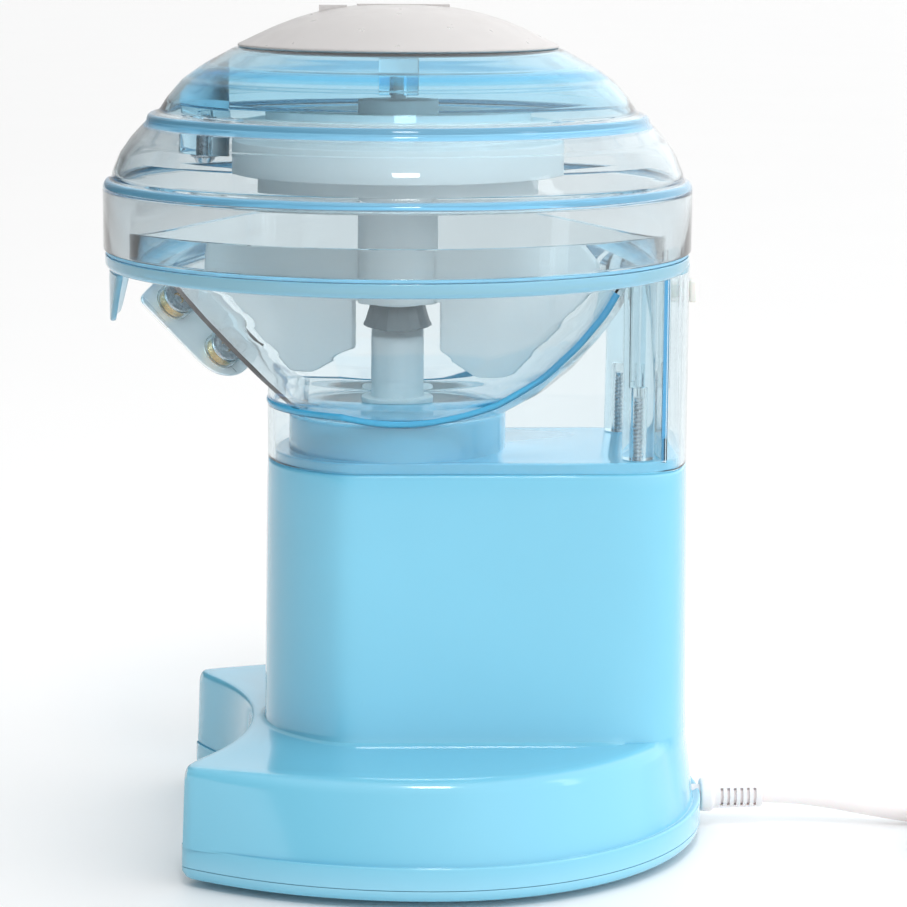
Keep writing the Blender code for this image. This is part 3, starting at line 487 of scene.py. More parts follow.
def make_materials():
    return {
        "blue": surface("blue_shell", (0.195, 0.575, 0.765), 0.13, scale=9, spread=0.025, grain=1400,
                        relief=0.004, wear=0.35, Coat_Weight=0.5, Coat_Roughness=0.05, IOR=1.52),
        "hopper": clear_plastic("clear_hopper", (0.95, 0.96, 0.96), (0.30, 0.76, 0.94), 34, HOPPER_ZONES),
        "lid": clear_plastic("clear_lid", (0.885, 0.90, 0.905), (0.30, 0.76, 0.94), 30, LID_ZONES),
        "boss": clear_plastic("clear_boss", (0.95, 0.97, 0.97), (0.35, 0.80, 0.95), 26),
        "shield": clear_plastic("clear_shield", (0.92, 0.95, 0.96), (0.35, 0.80, 0.95), 20, SHIELD_ZONES),
        "bead": surface("clear_bead", (0.09, 0.50, 0.78), 0.12, scale=20, spread=0.06, grain=120,
                        relief=0.01, Transmission_Weight=0.25, IOR=1.47),
        "frosted": surface("frosted_cap", (0.77, 0.745, 0.735), 0.33, scale=25, spread=0.02, grain=22,
                           relief=0.006, Transmission_Weight=0.35, IOR=1.45),
        "milky": surface("milky_plastic", (0.95, 0.97, 0.97), 0.45, scale=30, spread=0.02, grain=200,
                         relief=0.005, wear=0.2, Transmission_Weight=0.4, IOR=1.45),
        "seal": surface("soft_seal", (0.35, 0.72, 0.92), 0.35, scale=60, spread=0.06, grain=900, relief=0.02,
                        Transmission_Weight=0.4),
        "white": surface("white_plastic", (0.86, 0.84, 0.78), 0.33, scale=60, spread=0.03, grain=1500,
                         relief=0.01, wear=0.3, Subsurface_Weight=0.15),
        "cord": surface("cord_white", (0.88, 0.81, 0.80), 0.42, scale=40, spread=0.03, grain=1100,
                        relief=0.03, wear=0.2, Subsurface_Weight=0.1),
        "rubber": surface("black_rubber", (0.022, 0.022, 0.024), 0.72, scale=80, spread=0.25, grain=1600,
                          relief=0.05, speckle=(0.05, 0.05, 0.05)),
        "stainless": surface("stainless", (0.84, 0.83, 0.82), 0.36, scale=60, spread=0.06, uneven=0.35,
                             grain=500, relief=0.006, stretch=(1, 0.08, 0.08), wear=0.4, Metallic=0.6),
        "steel": surface("plated_steel", (0.62, 0.62, 0.64), 0.24, scale=120, spread=0.10, uneven=0.4,
                         grain=1500, relief=0.008, wear=0.5, Metallic=1.0),
        "cast": surface("die_cast", (0.55, 0.56, 0.57), 0.45, scale=60, spread=0.10, grain=1200, relief=0.05,
                        wear=0.3, Metallic=1.0),
        "copper": surface("windings", (0.50, 0.21, 0.09), 0.38, scale=50, spread=0.2, grain=900, relief=0.12,
                          stretch=(0.3, 0.3, 2.5), speckle=(0.16, 0.08, 0.05), Metallic=0.9),
        "brass": surface("aged_brass", (0.70, 0.50, 0.24), 0.30, scale=150, spread=0.2, uneven=0.4, grain=700,
                         relief=0.02, wear=0.5, speckle=(0.42, 0.27, 0.12), Metallic=1.0),
        "dark": surface("dark_plastic", (0.055, 0.075, 0.085), 0.42, scale=60, spread=0.15, grain=1300,
                        relief=0.03, wear=0.3),
    }


def show(item, look, slot, *nodes, body="machine"):
    """Gives a finished piece its material and the body it moves with, and hides the CAD nodes it stands for.
    """
    item.data.materials.clear()
    item.data.materials.append(LOOKS[look])
    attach(item, body)
    if nodes:
        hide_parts(*nodes)
    return item


# ---- plan outlines


PLAN_STEPS = 288
DIRECTIONS = [Vector((math.cos(angle), math.sin(angle), 0))
              for angle in (2 * math.pi * step / PLAN_STEPS for step in range(PLAN_STEPS))]


def disc_exit(way, centre_x, centre_y, radius):
    """How far a ray from the main axis goes before it leaves a disc."""
    along = way.x * centre_x + way.y * centre_y
    return along + math.sqrt(along ** 2 - centre_x ** 2 - centre_y ** 2 + radius ** 2)


def disc_entry(way, centre_y, radius):
    """How far a ray from the main axis goes before it meets a disc in front, or infinity."""
    along = way.y * centre_y
    inside = along ** 2 - centre_y ** 2 + radius ** 2
    return along - math.sqrt(inside) if along > 0 and inside > 0 else math.inf


def foot_reach(way, draft, wall=0.0):
    rear = FOOT_RADIUS - draft
    side = FOOT_SIDE_RADIUS + FOOT_SIDE_SPREAD * draft
    centre_x = -math.copysign(side - rear, way.x)
    reach = disc_exit(way, centre_x, FOOT_CENTRE_Y, side - wall)
    if way.y * reach > FOOT_CENTRE_Y:
        reach = disc_exit(way, 0, FOOT_CENTRE_Y, rear - wall)
    scoop = SCOOP_RADIUS + 0.25 * draft + wall
    reach = min(reach, disc_entry(way, SCOOP_BACK_Y - SCOOP_RADIUS, scoop))
    if way.y < 0:
        reach = min(reach, (FOOT_LOW.y + 0.2 * draft + wall) / way.y)
    return reach


def tower_reach(way, inset):
    end = TOWER_FRONT if way.y < 0 else TOWER_REAR
    side = (TOWER_HALF_WIDTH - inset) / max(abs(way.x), 1e-9)
    return min(end - inset, side)


def smoothed(reaches, passes):
    for _ in range(passes):
        reaches = [(reaches[here - 1] + 2 * reaches[here] + reaches[(here + 1) % PLAN_STEPS]) / 4
                   for here in range(PLAN_STEPS)]
    return reaches


def plan_ring(reaches, height):
    """A ring at a height from its reach in each direction."""
    return [way * reach + UP * height for way, reach in zip(DIRECTIONS, reaches)]


def foot_reaches(draft, wall=0.0):
    return smoothed([foot_reach(way, draft, wall) for way in DIRECTIONS], 2)


def foot_ring(height, draft, wall=0.0):
    return plan_ring(foot_reaches(draft, wall), height)


def tower_reaches(inset):
    return smoothed([tower_reach(way, inset) for way in DIRECTIONS], 24)


def shoulder_reaches(draft):
    """The foot's upper wall, kept outside the tower where the two meet at the rear."""
    return [max(pair) for pair in zip(foot_reaches(draft), tower_reaches(-0.3))]


def fillet_ring(height, inset, draft):
    """A ring round the tower's foot that doesn't reach past the shoulder it stands on."""
    return plan_ring([min(pair) for pair in zip(tower_reaches(inset), shoulder_reaches(draft))], height)


def tower_ring(height, inset):
    return plan_ring(tower_reaches(inset), height)


def round_ring(height, radius):
    return [way * radius + UP * height for way in DIRECTIONS]


# ---- mains lead


CORD_DIAMETER = 0.0068
CORD_EXIT_Z = 13.5
CORD_ROUTE = ((0.112, 0.0135), (0.126, 0.0135), (0.140, 0.0135), (0.152, 0.0134), (0.166, 0.0127),
              (0.181, 0.0106), (0.196, 0.0077), (0.210, 0.0052), (0.222, 0.0038), (0.2336, 0.0036))
COIL_CENTRE = (0.044, 0.259)
COIL_TURNS = 3
TURN_POINTS = 28


def ease(t, start, end):
    """Goes smoothly from 0 to 1 between start and end."""
    share = min(max((t - start) / (end - start), 0), 1)
    return share * share * (3 - 2 * share)


def cord_path():
    """The lead's centreline in the row frame."""
    low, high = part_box("cord_coil")
    outer, floor_z = (high.x - low.x - CORD_DIAMETER) / 2 - 0.0001, CORD_ROUTE[-1][1]
    points = [Vector((0, y, z)) for y, z in CORD_ROUTE]
    points.append(Vector((0, 0.246, floor_z)))
    for step in range(COIL_TURNS * TURN_POINTS + 1):
        turns = step / TURN_POINTS
        in_out = ease(turns, 0.75, 1.0) - ease(turns, 2.5, 2.75)
        radius = outer - in_out * CORD_DIAMETER
        height = floor_z + ease(turns, 1.6, 1.87) * CORD_DIAMETER
        angle = math.pi - 2 * math.pi * turns
        x, y = COIL_CENTRE
        points.append(Vector((x + math.cos(angle) * radius, y + math.sin(angle) * radius, height)))
    plug_low, plug_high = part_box("plug_body")
    plug_z = (plug_low.z + plug_high.z) / 2
    points.append(Vector((0, 0.267, points[-1].z - 0.0006)))
    points.append(Vector((0, 0.277, plug_z + 0.0004)))
    points.append(Vector((0, plug_low.y - AXIS.y + 0.0015, plug_z)))
    return [AXIS + point for point in points]


def smooth_line(points, steps=4):
    """A finer line through the points, on a Catmull-Rom curve."""
    result = []
    for here in range(len(points) - 1):
        before, after = points[max(here - 1, 0)], points[min(here + 2, len(points) - 1)]
        first, second = points[here], points[here + 1]
        pull, draw = (second - before) / 2, (after - first) / 2
        for step in range(steps):
            t = step / steps
            result.append(first * (2 * t ** 3 - 3 * t ** 2 + 1) + pull * (t ** 3 - 2 * t ** 2 + t)
                          + second * (3 * t ** 2 - 2 * t ** 3) + draw * (t ** 3 - t ** 2))
    return [*result, points[-1]]


def make_tube(name, points, radius, resolution=6):
    """A round tube as a curve object, from points in the row frame."""
    curve = bpy.data.curves.new(name, "CURVE")
    curve.dimensions = "3D"
    curve.bevel_depth = radius
    curve.bevel_resolution = resolution
    curve.use_fill_caps = True
    line = curve.splines.new("POLY")
    line.points.add(len(points) - 1)
    for point, place in zip(line.points, points):
        point.co = (*place, 1)
    line.use_smooth = True
    return add_object(name, curve)


def relief_frame():
    """Z along the lead where it leaves the rear of the foot."""
    return Matrix.Translation((0, 0, CORD_EXIT_Z)) @ Matrix.Rotation(-math.pi / 2, 4, "X")


def make_relief():
    """A collar and a tapered sleeve with slots cut into both of its sides."""
    profile = ((3.75, 114.4), (6, 114.4), (6, 117.6), (4.4, 117.6), (4.4, 125.9), (6.9, 125.9), (6.9, 130.6),
               (5.6, 131.8), (5.2, 151.5), (3.75, 152))
    radii = (0, 0.3, 0.3, 0, 0, 1.2, 1.4, 0.8, 0.6, 0)
    relief = lathe("strain_sleeve", rounded(profile, radii), ROUND, turned=relief_frame())
    for number in range(6):
        y = 134.2 + 2.75 * number
        for low_x, high_x in ((-9, -1), (1, 9)):
            slot = block("slot", (low_x, y, CORD_EXIT_Z - 3.7), (high_x, y + 1.15, CORD_EXIT_Z + 3.7))
            core = post("core", 4.0, y - 2, y + 3, ROUND, turned=relief_frame())
            combine(slot, core)
            combine(relief, slot)
    return relief


def make_plug():
    """A moulded two-pin plug with grip ribs and a short sleeve."""
    low, high = extent("plug_body")
    z = (low.z + high.z) / 2
    sections = ((0, 3.9, 3.9, 2), (2, 4.3, 4.3, 2), (6.5, 5.2, 5.2, 2), (8.2, 8.5, 6.0, 2.4),
                (10, 11.2, 6.7, 3), (12, 12, 7.3, 3.6), (38.6, 12, 7.3, 3.6), (40.2, 11.6, 6.9, 3.6),
                (41, 10.8, 6.2, 3.6))
    rings = []
    for reach, half_width, half_height, power in sections:
        ring = []
        for step in range(ROUND):
            angle = 2 * math.pi * step / ROUND
            cos, sin = math.cos(angle), math.sin(angle)
            across = math.copysign(abs(cos) ** (2 / power), cos) * half_width
            rise = math.copysign(abs(sin) ** (2 / power), sin) * half_height
            ring.append(Vector((across, low.y + reach, z + rise)))
        rings.append(ring)
    plug = skin("plug", rings)
    for number in range(5):
        y = low.y + 16 + 3.6 * number
        for low_x, high_x in ((-12.6, -11.3), (11.3, 12.6)):
            combine(plug, block("groove", (low_x, y, z - 4.6), (high_x, y + 1.5, z + 4.6), 0.2))
    return plug


def make_pin(number):
    low, high = extent(f"plug_pin_{number}")
    pin = block(f"pin_{number}", low, high, 0.3)
    hole = post("hole", 1.6, low.x - 2, high.x + 2, turned=Matrix.Translation(
        (0, high.y - 4.2, (low.z + high.z) / 2)) @ Matrix.Rotation(math.pi / 2, 4, "Y"))
    return combine(pin, hole)


def build_cord():
    """The lead in one piece, with its plug, pins and strain relief."""
    path = cord_path()
    line = smooth_line(path)
    cord = show(make_tube("mains_cord", line, CORD_DIAMETER / 2), "cord", "cord_white",
                "cord_tube", "cord_coil")
    plug = show(make_plug(), "cord", "cord_white", "plug_body")
    pins = [show(make_pin(number), "brass", "brass", f"plug_pin_{number}") for number in (1, 2)]
    relief = show(make_relief(), "cord", "cord_white", "strain_relief")


# ---- foot and tower


def build_base():
    """Foot, tower, deck and neck in one moulding."""
    bottom = FOOT_LOW.z
    shoulder = 22
    wall = rounded(((0, bottom), (0.01, FLANGE_TOP + 1.2), (3.2, FLANGE_TOP - 0.2), (9.6, FOOT_TOP),
                    (shoulder, FOOT_TOP)), (0, 2.0, 0.5, 5.5, 0), steps=6, closed=False)
    rings = [plan_ring(shoulder_reaches(draft) if height > FLANGE_TOP + 2 else foot_reaches(draft), height)
             for draft, height in wall]
    for inset, rise in ((-2.6, 0.05), (-1.5, 0.3), (-0.6, 1.1), (0, 3.3)):
        rings.append(fillet_ring(FOOT_TOP + rise, inset, shoulder))
    edge = rounded(((TOWER_DRAFT - 0.4, TOWER_TOP - 12), (TOWER_DRAFT, TOWER_TOP), (4.3, TOWER_TOP),
                    (4.3, DECK_TOP), (7, DECK_TOP)), (0, 1.3, 0.5, 0.9, 0), closed=False)
    rings += [tower_ring(height, inset) for inset, height in edge]
    neck = rounded(((NECK_RADIUS + 0.3, DECK_TOP), (NECK_RADIUS, DECK_TOP + 0.1), (NECK_RADIUS, NECK_TOP),
                    (12.5, NECK_TOP), (12.5, NECK_TOP - 3), (NECK_RADIUS - 3, NECK_TOP - 3),
                    (NECK_RADIUS - 3, DECK_TOP - 3)), (0, 0, 1.4, 0.8, 0, 0, 0), closed=False)
    rings += [round_ring(height, radius) for radius, height in neck]
    rings += [tower_ring(DECK_TOP - 3, 7), tower_ring(FOOT_TOP - 3, 3.5), foot_ring(43.9, 11.5, 4),
              foot_ring(40, 9, 3.2), foot_ring(16, 3, 3.4), foot_ring(bottom, 0.5, 3.4)]
    base = skin("base_shell", rings, closed=True)
    combine(base, post("cord_hole", 4.7, 100, 135, turned=relief_frame()))
    for number in (1, 2, 3, 4):
        spot = middle(f"foot_pad_{number}")
        boss = lathe("boss", tube_profile(2.3, 4.6, bottom + 0.7, 45.2), SMALL, spot)
        join(base, boss)
    return base


def build_plate():
    """The plate under the foot, with the holes for the screws that hold it."""
    bottom, top = PLATE_LOW.z, PLATE_HIGH.z
    edge = rounded(((3.6, bottom), (1.2, bottom + 0.6), (0, bottom + 3.0), (0, top), (5, top)),
                   (0, 1.2, 1.5, 0.4, 0), closed=False)
    rings = [foot_ring(height, inset * 0.2, inset) for inset, height in edge]
    rings.append(foot_ring(top - 2.5, 1, 5))
    plate = skin("base_plate", rings)
    for number in (1, 2, 3, 4):
        combine(plate, post("hole", 2.3, 0, 12, place=middle(f"foot_pad_{number}")))
    for number in range(7):
        x = -30 + 10 * number
        combine(plate, block("slot", (x - 1.4, 44, 0), (x + 1.4, 74, 12), 0.6))
    return plate


def thread_profile(radius, bottom, top, pitch=1.0):
    """The outline of a threaded shank, from its bottom to its top, without the axis points."""
    points = []
    height = bottom
    while height < top - pitch:
        points += [(radius, height), (radius, height + 0.25 * pitch), (radius * 0.76, height + 0.6 * pitch)]
        height += pitch
    return [*points, (radius, top - 0.2), (radius * 0.6, top)]


def make_screw(name, node, head, shank, place=None, turned=None, pitch=1.0):
    """A pan head (radius, bottom, top) with a cross recess, on a threaded shank (radius, top)."""
    radius, bottom, top = head
    crown = min(0.8 * radius, top - bottom)
    outline = [(0, bottom), *rounded(((radius * 0.75, bottom), (radius, bottom + crown), (radius, top)),
                                     (0.5, 0.6, 0), closed=False)]
    outline += [(shank[0] * 0.9, top), *thread_profile(shank[0], top + 0.2, shank[1], pitch), (0, shank[1])]
    spot = turned or Matrix.Translation((place[0], place[1], 0))
    screw = lathe(name, outline, SMALL, turned=spot)
    for angle in (0, math.pi / 2):
        wedge = ((-radius * 0.55, bottom - 1), (radius * 0.55, bottom - 1),
                 (radius * 0.3, bottom + crown * 0.7), (-radius * 0.3, bottom + crown * 0.7))
        recess = prism("recess", wedge, -0.1 * radius, 0.1 * radius)
        shift = spot @ Matrix.Rotation(angle, 4, "Z")
        shift.translation *= MM
        recess.data.transform(Matrix.Translation(AXIS) @ shift @ Matrix.Translation(-AXIS))
        combine(screw, recess)
    show(screw, "steel", "screw_steel", node, body=frame["nodes"][node]["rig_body"])


def build_feet():
    for number in (1, 2, 3, 4):
        spot = middle(f"foot_pad_{number}")
        profile = ((2.3, 2.7), (5.8, 2.7), (6.1, 2.2), (6.1, 0.6), (5.6, 0), (4.1, 0), (4.0, 1.9), (2.3, 1.9))
        pad = lathe(f"foot_{number}", rounded(profile, 0.3, steps=3), ROUND, spot)
        show(pad, "rubber", "rubber", f"foot_pad_{number}")
        make_screw(f"foot_fixing_{number}", f"foot_screw_{number}", (3.4, 0.5, 1.6), (1.85, 15), spot)


# ---- clear hopper


BOWL_OUTER = ((44.0, 176.0), (59.0, 184.5), (72.0, 195.5), (83.0, 208.5), (91.0, 220.0), (96.5, 231.0),
              (98.5, 234.0))
BOWL_INNER = ((97.5, 236.8), (94.2, 231.5), (88.8, 221.3), (81.0, 210.0), (70.3, 197.4), (57.8, 186.9),
              (43.2, 178.5))


def slant_box(name, low, high):
    """A box along the slant: x, distance down the slant and distance into the bowl."""
    return block(name, low, high, along=SLANT, up=INWARD, origin=SLANT_TOP)


def bed_x(depth, offset):
    """Where the plane at this offset from the blade's lower face passes a depth into the bowl."""
    return BLADE_EDGE_X + (offset - (depth - BLADE_EDGE_IN) * math.cos(BLADE_TILT)) / math.sin(BLADE_TILT)


def blade_frame(width_offset=0.0, slant_offset=0.0):
    """Z along the blade's face normal, X along its width towards the cutting edge."""
    edge = SLANT_TOP + SLANT * (BLADE_MIDDLE + slant_offset) + INWARD * BLADE_EDGE_IN
    place = edge + RIGHT * BLADE_EDGE_X - BLADE_OUT * width_offset
    side = BLADE_FACE.cross(BLADE_OUT)
    turned = Matrix((BLADE_OUT, side, BLADE_FACE)).transposed().to_4x4()
    return Matrix.Translation(place) @ turned


def insert_frames():
    return [blade_frame(INSERT_OFFSET, way * INSERT_SPACING / 2) for way in (-1, 1)]


def bowl_parts():
    """The bowl with its rim and lip, and the flat facet across its front."""
    rim_radius, rim_top = HOPPER_HIGH.x, 239.6
    lip, lip_top = 106.6, HOPPER_HIGH.z
    rim = ((rim_radius - 1.3, 234), (rim_radius, 235.6), (rim_radius, rim_top), (lip, rim_top),
           (lip, lip_top), (lip - 2.5, lip_top), (lip - 2.5, 238.2))
    profile = [(11.3, 176), *BOWL_OUTER, *rim, *BOWL_INNER, (11.3, 178.5)]
    radii = [0.5, *[3.0] * 6, 2.2, 0.6, 1.0, 0.5, 0.8, 0.6, 0.6, 0.8, *[3.0] * 7, 0.5]
    bowl = lathe("hopper_bowl", rounded(profile, radii), SMOOTH)
    combine(bowl, slant_box("front", (-50, -6.9, -30), (50, 66, 0)))
    facet = slant_box("facet", (-51, -7.9, 0), (51, 70, FACET_THICKNESS))
    solid = lathe("solid", rounded([(0, 176), *BOWL_OUTER[:-1], (98.0, 233.4), (0, 233.4)], 3.0), SMOOTH)
    return bowl, combine(facet, solid, "INTERSECT")


def build_hopper():
    """Skirt, rear chamber, screw posts, bowl, rim and blade seat: one clear moulding."""
    bottom, top = HOPPER_LOW.z, 236
    outer, inner = TOWER_DRAFT, TOWER_DRAFT + CLEAR_WALL
    rings = [tower_ring(bottom, outer + 0.3), tower_ring(bottom + 0.4, outer), tower_ring(top, outer),
             tower_ring(top, inner), tower_ring(bottom + 0.4, inner), tower_ring(bottom, inner - 0.3)]
    hopper = skin("hopper", rings, closed=True)
    join(hopper, block("wall", (-46, 102.3, 161.4), (46, 104.3, 236.5)))
    screws = [middle("housing_screw_1"), middle("housing_screw_2")]
    for spot in screws:
        join(hopper, post("post", 6.3, 161.4, 237, ROUND, spot))
    below = [(43.6, 177.2), (58.4, 185.7), (71.2, 196.4), (82, 209.2), (89.9, 220.7), (95.4, 231.3),
             (98, 235.4), (105.3, 237.2)]
    hollow = lathe("hollow", [(0, 177.2), *below, (105.3, 260), (0, 260)], SMOOTH)
    combine(hollow, slant_box("hollow_front", (-50, -30, -40), (50, 90, 1.2)))
    combine(hopper, hollow)
    bowl, facet = bowl_parts()
    join(hopper, bowl)
    join(hopper, facet)
    cut_blade_seat(hopper)
    for spot in screws:
        combine(hopper, post("hole", 2.3, 150, 190, place=spot))
    combine(hopper, block("slider_slot", (-3.3, 108.9, 228), (3.3, 112.2, 248)))
    combine(hopper, block("knob_slot", (-2.6, 112.8, 217.5), (2.6, 122, 227.5)))
    shade(hopper, 14)
    return hopper


def cut_blade_seat(hopper):
    """Two bosses for the blade's inserts under the facet, and the mouth before its cutting edge."""
    bed = BLADE_THICKNESS + 0.3
    outline = [(BOSS_LENGTH, -BOSS_RADIUS), (BOSS_LENGTH, BOSS_RADIUS)]
    for step in range(33):
        angle = math.radians(90 + 180 * step / 32)
        outline.append((BOSS_RADIUS * math.cos(angle), BOSS_RADIUS * math.sin(angle)))
    for turned in insert_frames():
        rings = [[turned @ Vector((x, y, height)) for x, y in outline] for height in (bed, 6.4)]
        boss = skin("boss", rings)
        combine(boss, slant_box("limit", (-20, -20, -30), (40, 60, 2.5)), "INTERSECT")
        join(hopper, boss)
    mouth_x = BLADE_EDGE_X - 7
    above, below = FACET_THICKNESS + 2, -1.5
    mouth = ((mouth_x, below), (mouth_x, above), (bed_x(above, bed), above), (bed_x(below, bed), below))
    combine(hopper, prism("mouth", mouth, BLADE_MIDDLE - 25.5, BLADE_MIDDLE + 25.5, across=SLANT,
                          along=RIGHT, up=INWARD, origin=SLANT_TOP))
    for turned in insert_frames():
        combine(hopper, post("hole", INSERT_RADIUS + 0.3, 0.8, 6.7, ROUND, turned=turned))


def knurl(angle, height):
    """Crossed helical grooves."""
    teeth, twist = 30, 0.9
    first = math.cos(teeth * (angle + twist * height / INSERT_RADIUS))
    second = math.cos(teeth * (angle - twist * height / INSERT_RADIUS))
    return -0.22 + 0.11 * (first + second)


def build_blade():
    """A plate with a round lower end and two slots, held by screws in knurled brass inserts."""
    half, top = BLADE_WIDTH / 2, BLADE_LENGTH / 2 - 1.5
    straight = BLADE_LENGTH / 2 - half
    seat = blade_frame(half)
    outline = rounded(((half, -straight), (half, top), (-half, top), (-half, -straight)), (0, 4, 4, 0),
                      steps=6, closed=False)
    for step in range(1, 32):
        angle = math.radians(180 + 180 * step / 32)
        outline.append((half * math.cos(angle), half * math.sin(angle) - straight))
    edge = ((0.35, 0), (0, 0.35), (0, BLADE_THICKNESS - 0.3), (0.3, BLADE_THICKNESS))
    rings = []
    for inset, height in edge:
        share = 1 - inset / half
        rings.append([seat @ Vector((x * share, y * (1 - inset / 26), height)) for x, y in outline])
    blade = skin("blade_plate", rings)
    for number, turned in enumerate(insert_frames(), 1):
        slot_outline = rounded(((-2.3, -4.2), (2.3, -4.2), (2.3, 4.2), (-2.3, 4.2)), 2.2, steps=6)
        rings = [[turned @ Vector((y, x, z)) for x, y in slot_outline] for z in (-3, 4)]
        combine(blade, skin("slot", rings))
        make_screw(f"blade_fixing_{number}", f"blade_screw_{number}", (3.5, -2.6, -0.3), (1.9, 5.2),
                   turned=turned, pitch=0.8)
        insert = lathe(f"insert_{number}", insert_profile(), 120, turned=turned, swell=knurl, sharp=60)
        show(insert, "brass", "brass", f"blade_insert_{number}")
        cup = ((2.3, 5.5), (INSERT_RADIUS, 5.5), (INSERT_RADIUS, 6.4), (INSERT_RADIUS - 1.2, 6.4), (3.4, 5.9),
               (2.3, 5.9))
        washer = lathe(f"cup_{number}", rounded(cup, 0.25, steps=3), ROUND, turned=turned)
        show(washer, "steel", "screw_steel", f"insert_cup_{number}")
    return blade


def insert_profile():
    """A brass insert's outline, with enough heights between its ends for the knurling."""
    bottom, top, steps = 1.8, 5.2, 9
    side = [(INSERT_RADIUS, bottom + (top - bottom) * step / steps) for step in range(steps + 1)]
    return [(2.3, bottom), (INSERT_RADIUS - 0.5, bottom), *side, (INSERT_RADIUS - 0.5, top), (2.3, top)]


def build_shield():
    """A short curved shield under the rim, narrowing to a round tip."""
    half_angle, top, bottom = math.radians(17), extent("front_deflector")[1].z, 213.0
    rings, columns = [], 60
    for step in range(columns + 1):
        share = 2 * step / columns - 1
        angle = -math.pi / 2 + share * half_angle
        way = Vector((math.cos(angle), math.sin(angle), 0))
        taper = max(0, abs(share) - 0.4) / 0.6
        low = bottom + (top - bottom) * (0.03 * share ** 2 + 0.87 * taper ** 1.5)
        rings.append([way * radius + UP * height
                      for radius, height in ((112.6, top), (115.1, top), (115.1, low), (112.6, low))])
    shield = skin("shield", rings)
    soften(shield, 0.9, steps=4)
    return shield


def build_bead():
    """The thick line of plastic where the skirt's wall meets the underside of the bowl."""
    points = []
    for way in DIRECTIONS:
        reach = tower_reach(way, TOWER_DRAFT + CLEAR_WALL / 2)
        for (inner, low), (outer, high) in zip(BOWL_OUTER, BOWL_OUTER[1:]):
            if inner <= reach < outer:
                height = low + (high - low) * (reach - inner) / (outer - inner)
                points.append(AXIS + (way * reach + UP * height) * MM)
    behind = max(range(len(points)), key=lambda here: (points[here] - points[here - 1]).length)
    points = points[behind:] + points[:behind]
    return make_tube("junction_bead", smooth_line(points), 1.8 * MM)


# ---- lid


LID_OUTER = ((117.3, 241.2), (117.3, 266.5), (116.3, 268.6), (113.8, 269.6), (113.2, 272.5), (110.5, 279),
             (106.3, 285), (101.5, 290.2), (100.2, 291.4), (99.4, 294.2), (97.6, 295.2), (94.8, 296),
             (92, 300.5), (85.5, 308), (77, 314), (69, 318.3), (64.4, 320.8), (11.6, 320.8))
LID_INNER = ((11.6, 318.3), (63.6, 318.3), (68, 315.9), (75.6, 311.9), (83.6, 306.2), (89.8, 299.1),
             (92.6, 293.5), (97.2, 291.8), (98.2, 289.3), (104.3, 283.2), (108.1, 277.8), (110.6, 271.5),
             (111.2, 267.3), (114.8, 265.5), (114.8, 241.2))


def build_lid():
    lid = lathe("lid", rounded([*LID_OUTER, *LID_INNER], 1.1, steps=3), SMOOTH)
    spot = middle("lid_boss_screw")
    boss = post("lid_boss", 10, 279, 318, ROUND, spot, edge=0.8)
    fill = ((0, 270), (93.8, 270), (93.8, 294.8), (90.9, 299.8), (84.5, 307.1), (76.3, 313), (68.5, 317.1),
            (64, 319.5), (0, 319.5))
    combine(boss, lathe("fill", fill, SMOOTH), "INTERSECT")
    join(lid, boss)
    join(lid, block("tab", (-3.6, 108.4, 241.5), (3.6, 115.9, 248)))
    combine(lid, post("bore", 2.2, 270, 292, place=spot))
    show(lid, "lid", "clear_lid", "lid_dome", body="lid")
    washer = lathe("boss_washer", tube_profile(2.3, 5.6, 277.4, 278.7), ROUND, spot)
    show(washer, "steel", "screw_steel", "lid_boss_washer", body="lid")
    make_screw("boss_fixing", "lid_boss_screw", (4.4, 274.9, 277.1), (1.9, 290), spot)


def build_cap():
    """The frosted cap, with two plain grip bars on top."""
    bottom, top, radius = CAP_LOW.z, CAP_HIGH.z, CAP_HIGH.x
    outer = ((radius, bottom), (radius, 321.9), (61.5, 322.9), (58, 324.6), (53, 327.0), (48, 329.2),
             (41, 331.9), (34, 334.0), (26, 335.8), (18, 336.9), (9, 337.4), (0, 337.5))
    inner = ((0, top - 2.8), (17.8, top - 3.4), (33.2, 331.6), (46.8, 327.2), (56, 322.9), (60.2, bottom))
    cap = lathe("cap", rounded([*outer, *inner], (0.3, 0.6, *[2.5] * 9, 0, 0, *[2.5] * 4, 0.4)), SMOOTH)
    for low_y, high_y in ((-31.5, -20.5), (-16.5, 20.0)):
        reach = max(abs(low_y), abs(high_y))
        bar = block("bar", (-4, low_y, 330), (4, high_y, top - 0.0009 * reach ** 2))
        join(cap, bar)
    return cap


def build_bearing():
    """A round plate under the cap, with the square column that the paddle's pin turns in."""
    plate = post("bearing_block", 17, CAP_LOW.z, 323.6, ROUND, edge=0.5)
    column = block("column", (-7.8, -7.8, 302.5), (7.8, 7.8, 322), 0.6)
    join(plate, column)
    return combine(plate, post("bore", 3.4, 300, 311))


# ---- paddle, drum and drive


def build_paddle():
    hub, low, high = 16.0, 218.3, 300.0
    profile = ((0, low), (hub, low), (hub, high), (3, high), (3, 309), (0, 309))
    paddle = lathe("paddle_hub", rounded(profile, 0.8), ROUND)
    vane = rounded(((14, 246), (14, 220.5), (18.5, 220.5), (18.5, 200), (36, 189.5), (45.5, 189.5),
                    (83, 228.7), (83, 240), (76, 246)), (0, 0, 1.5, 2, 2, 2, 2, 3, 2))
    for degrees in (70, 250):
        angle = math.radians(degrees)
        along = Vector((math.cos(angle), math.sin(angle), 0))
        blank = prism("vane", vane, -2.5, 2.5, UP.cross(along), along)
        soften(blank, 0.7)
        join(paddle, blank)
    return combine(paddle, post("socket", 6.8, 216, 226.4, 6))


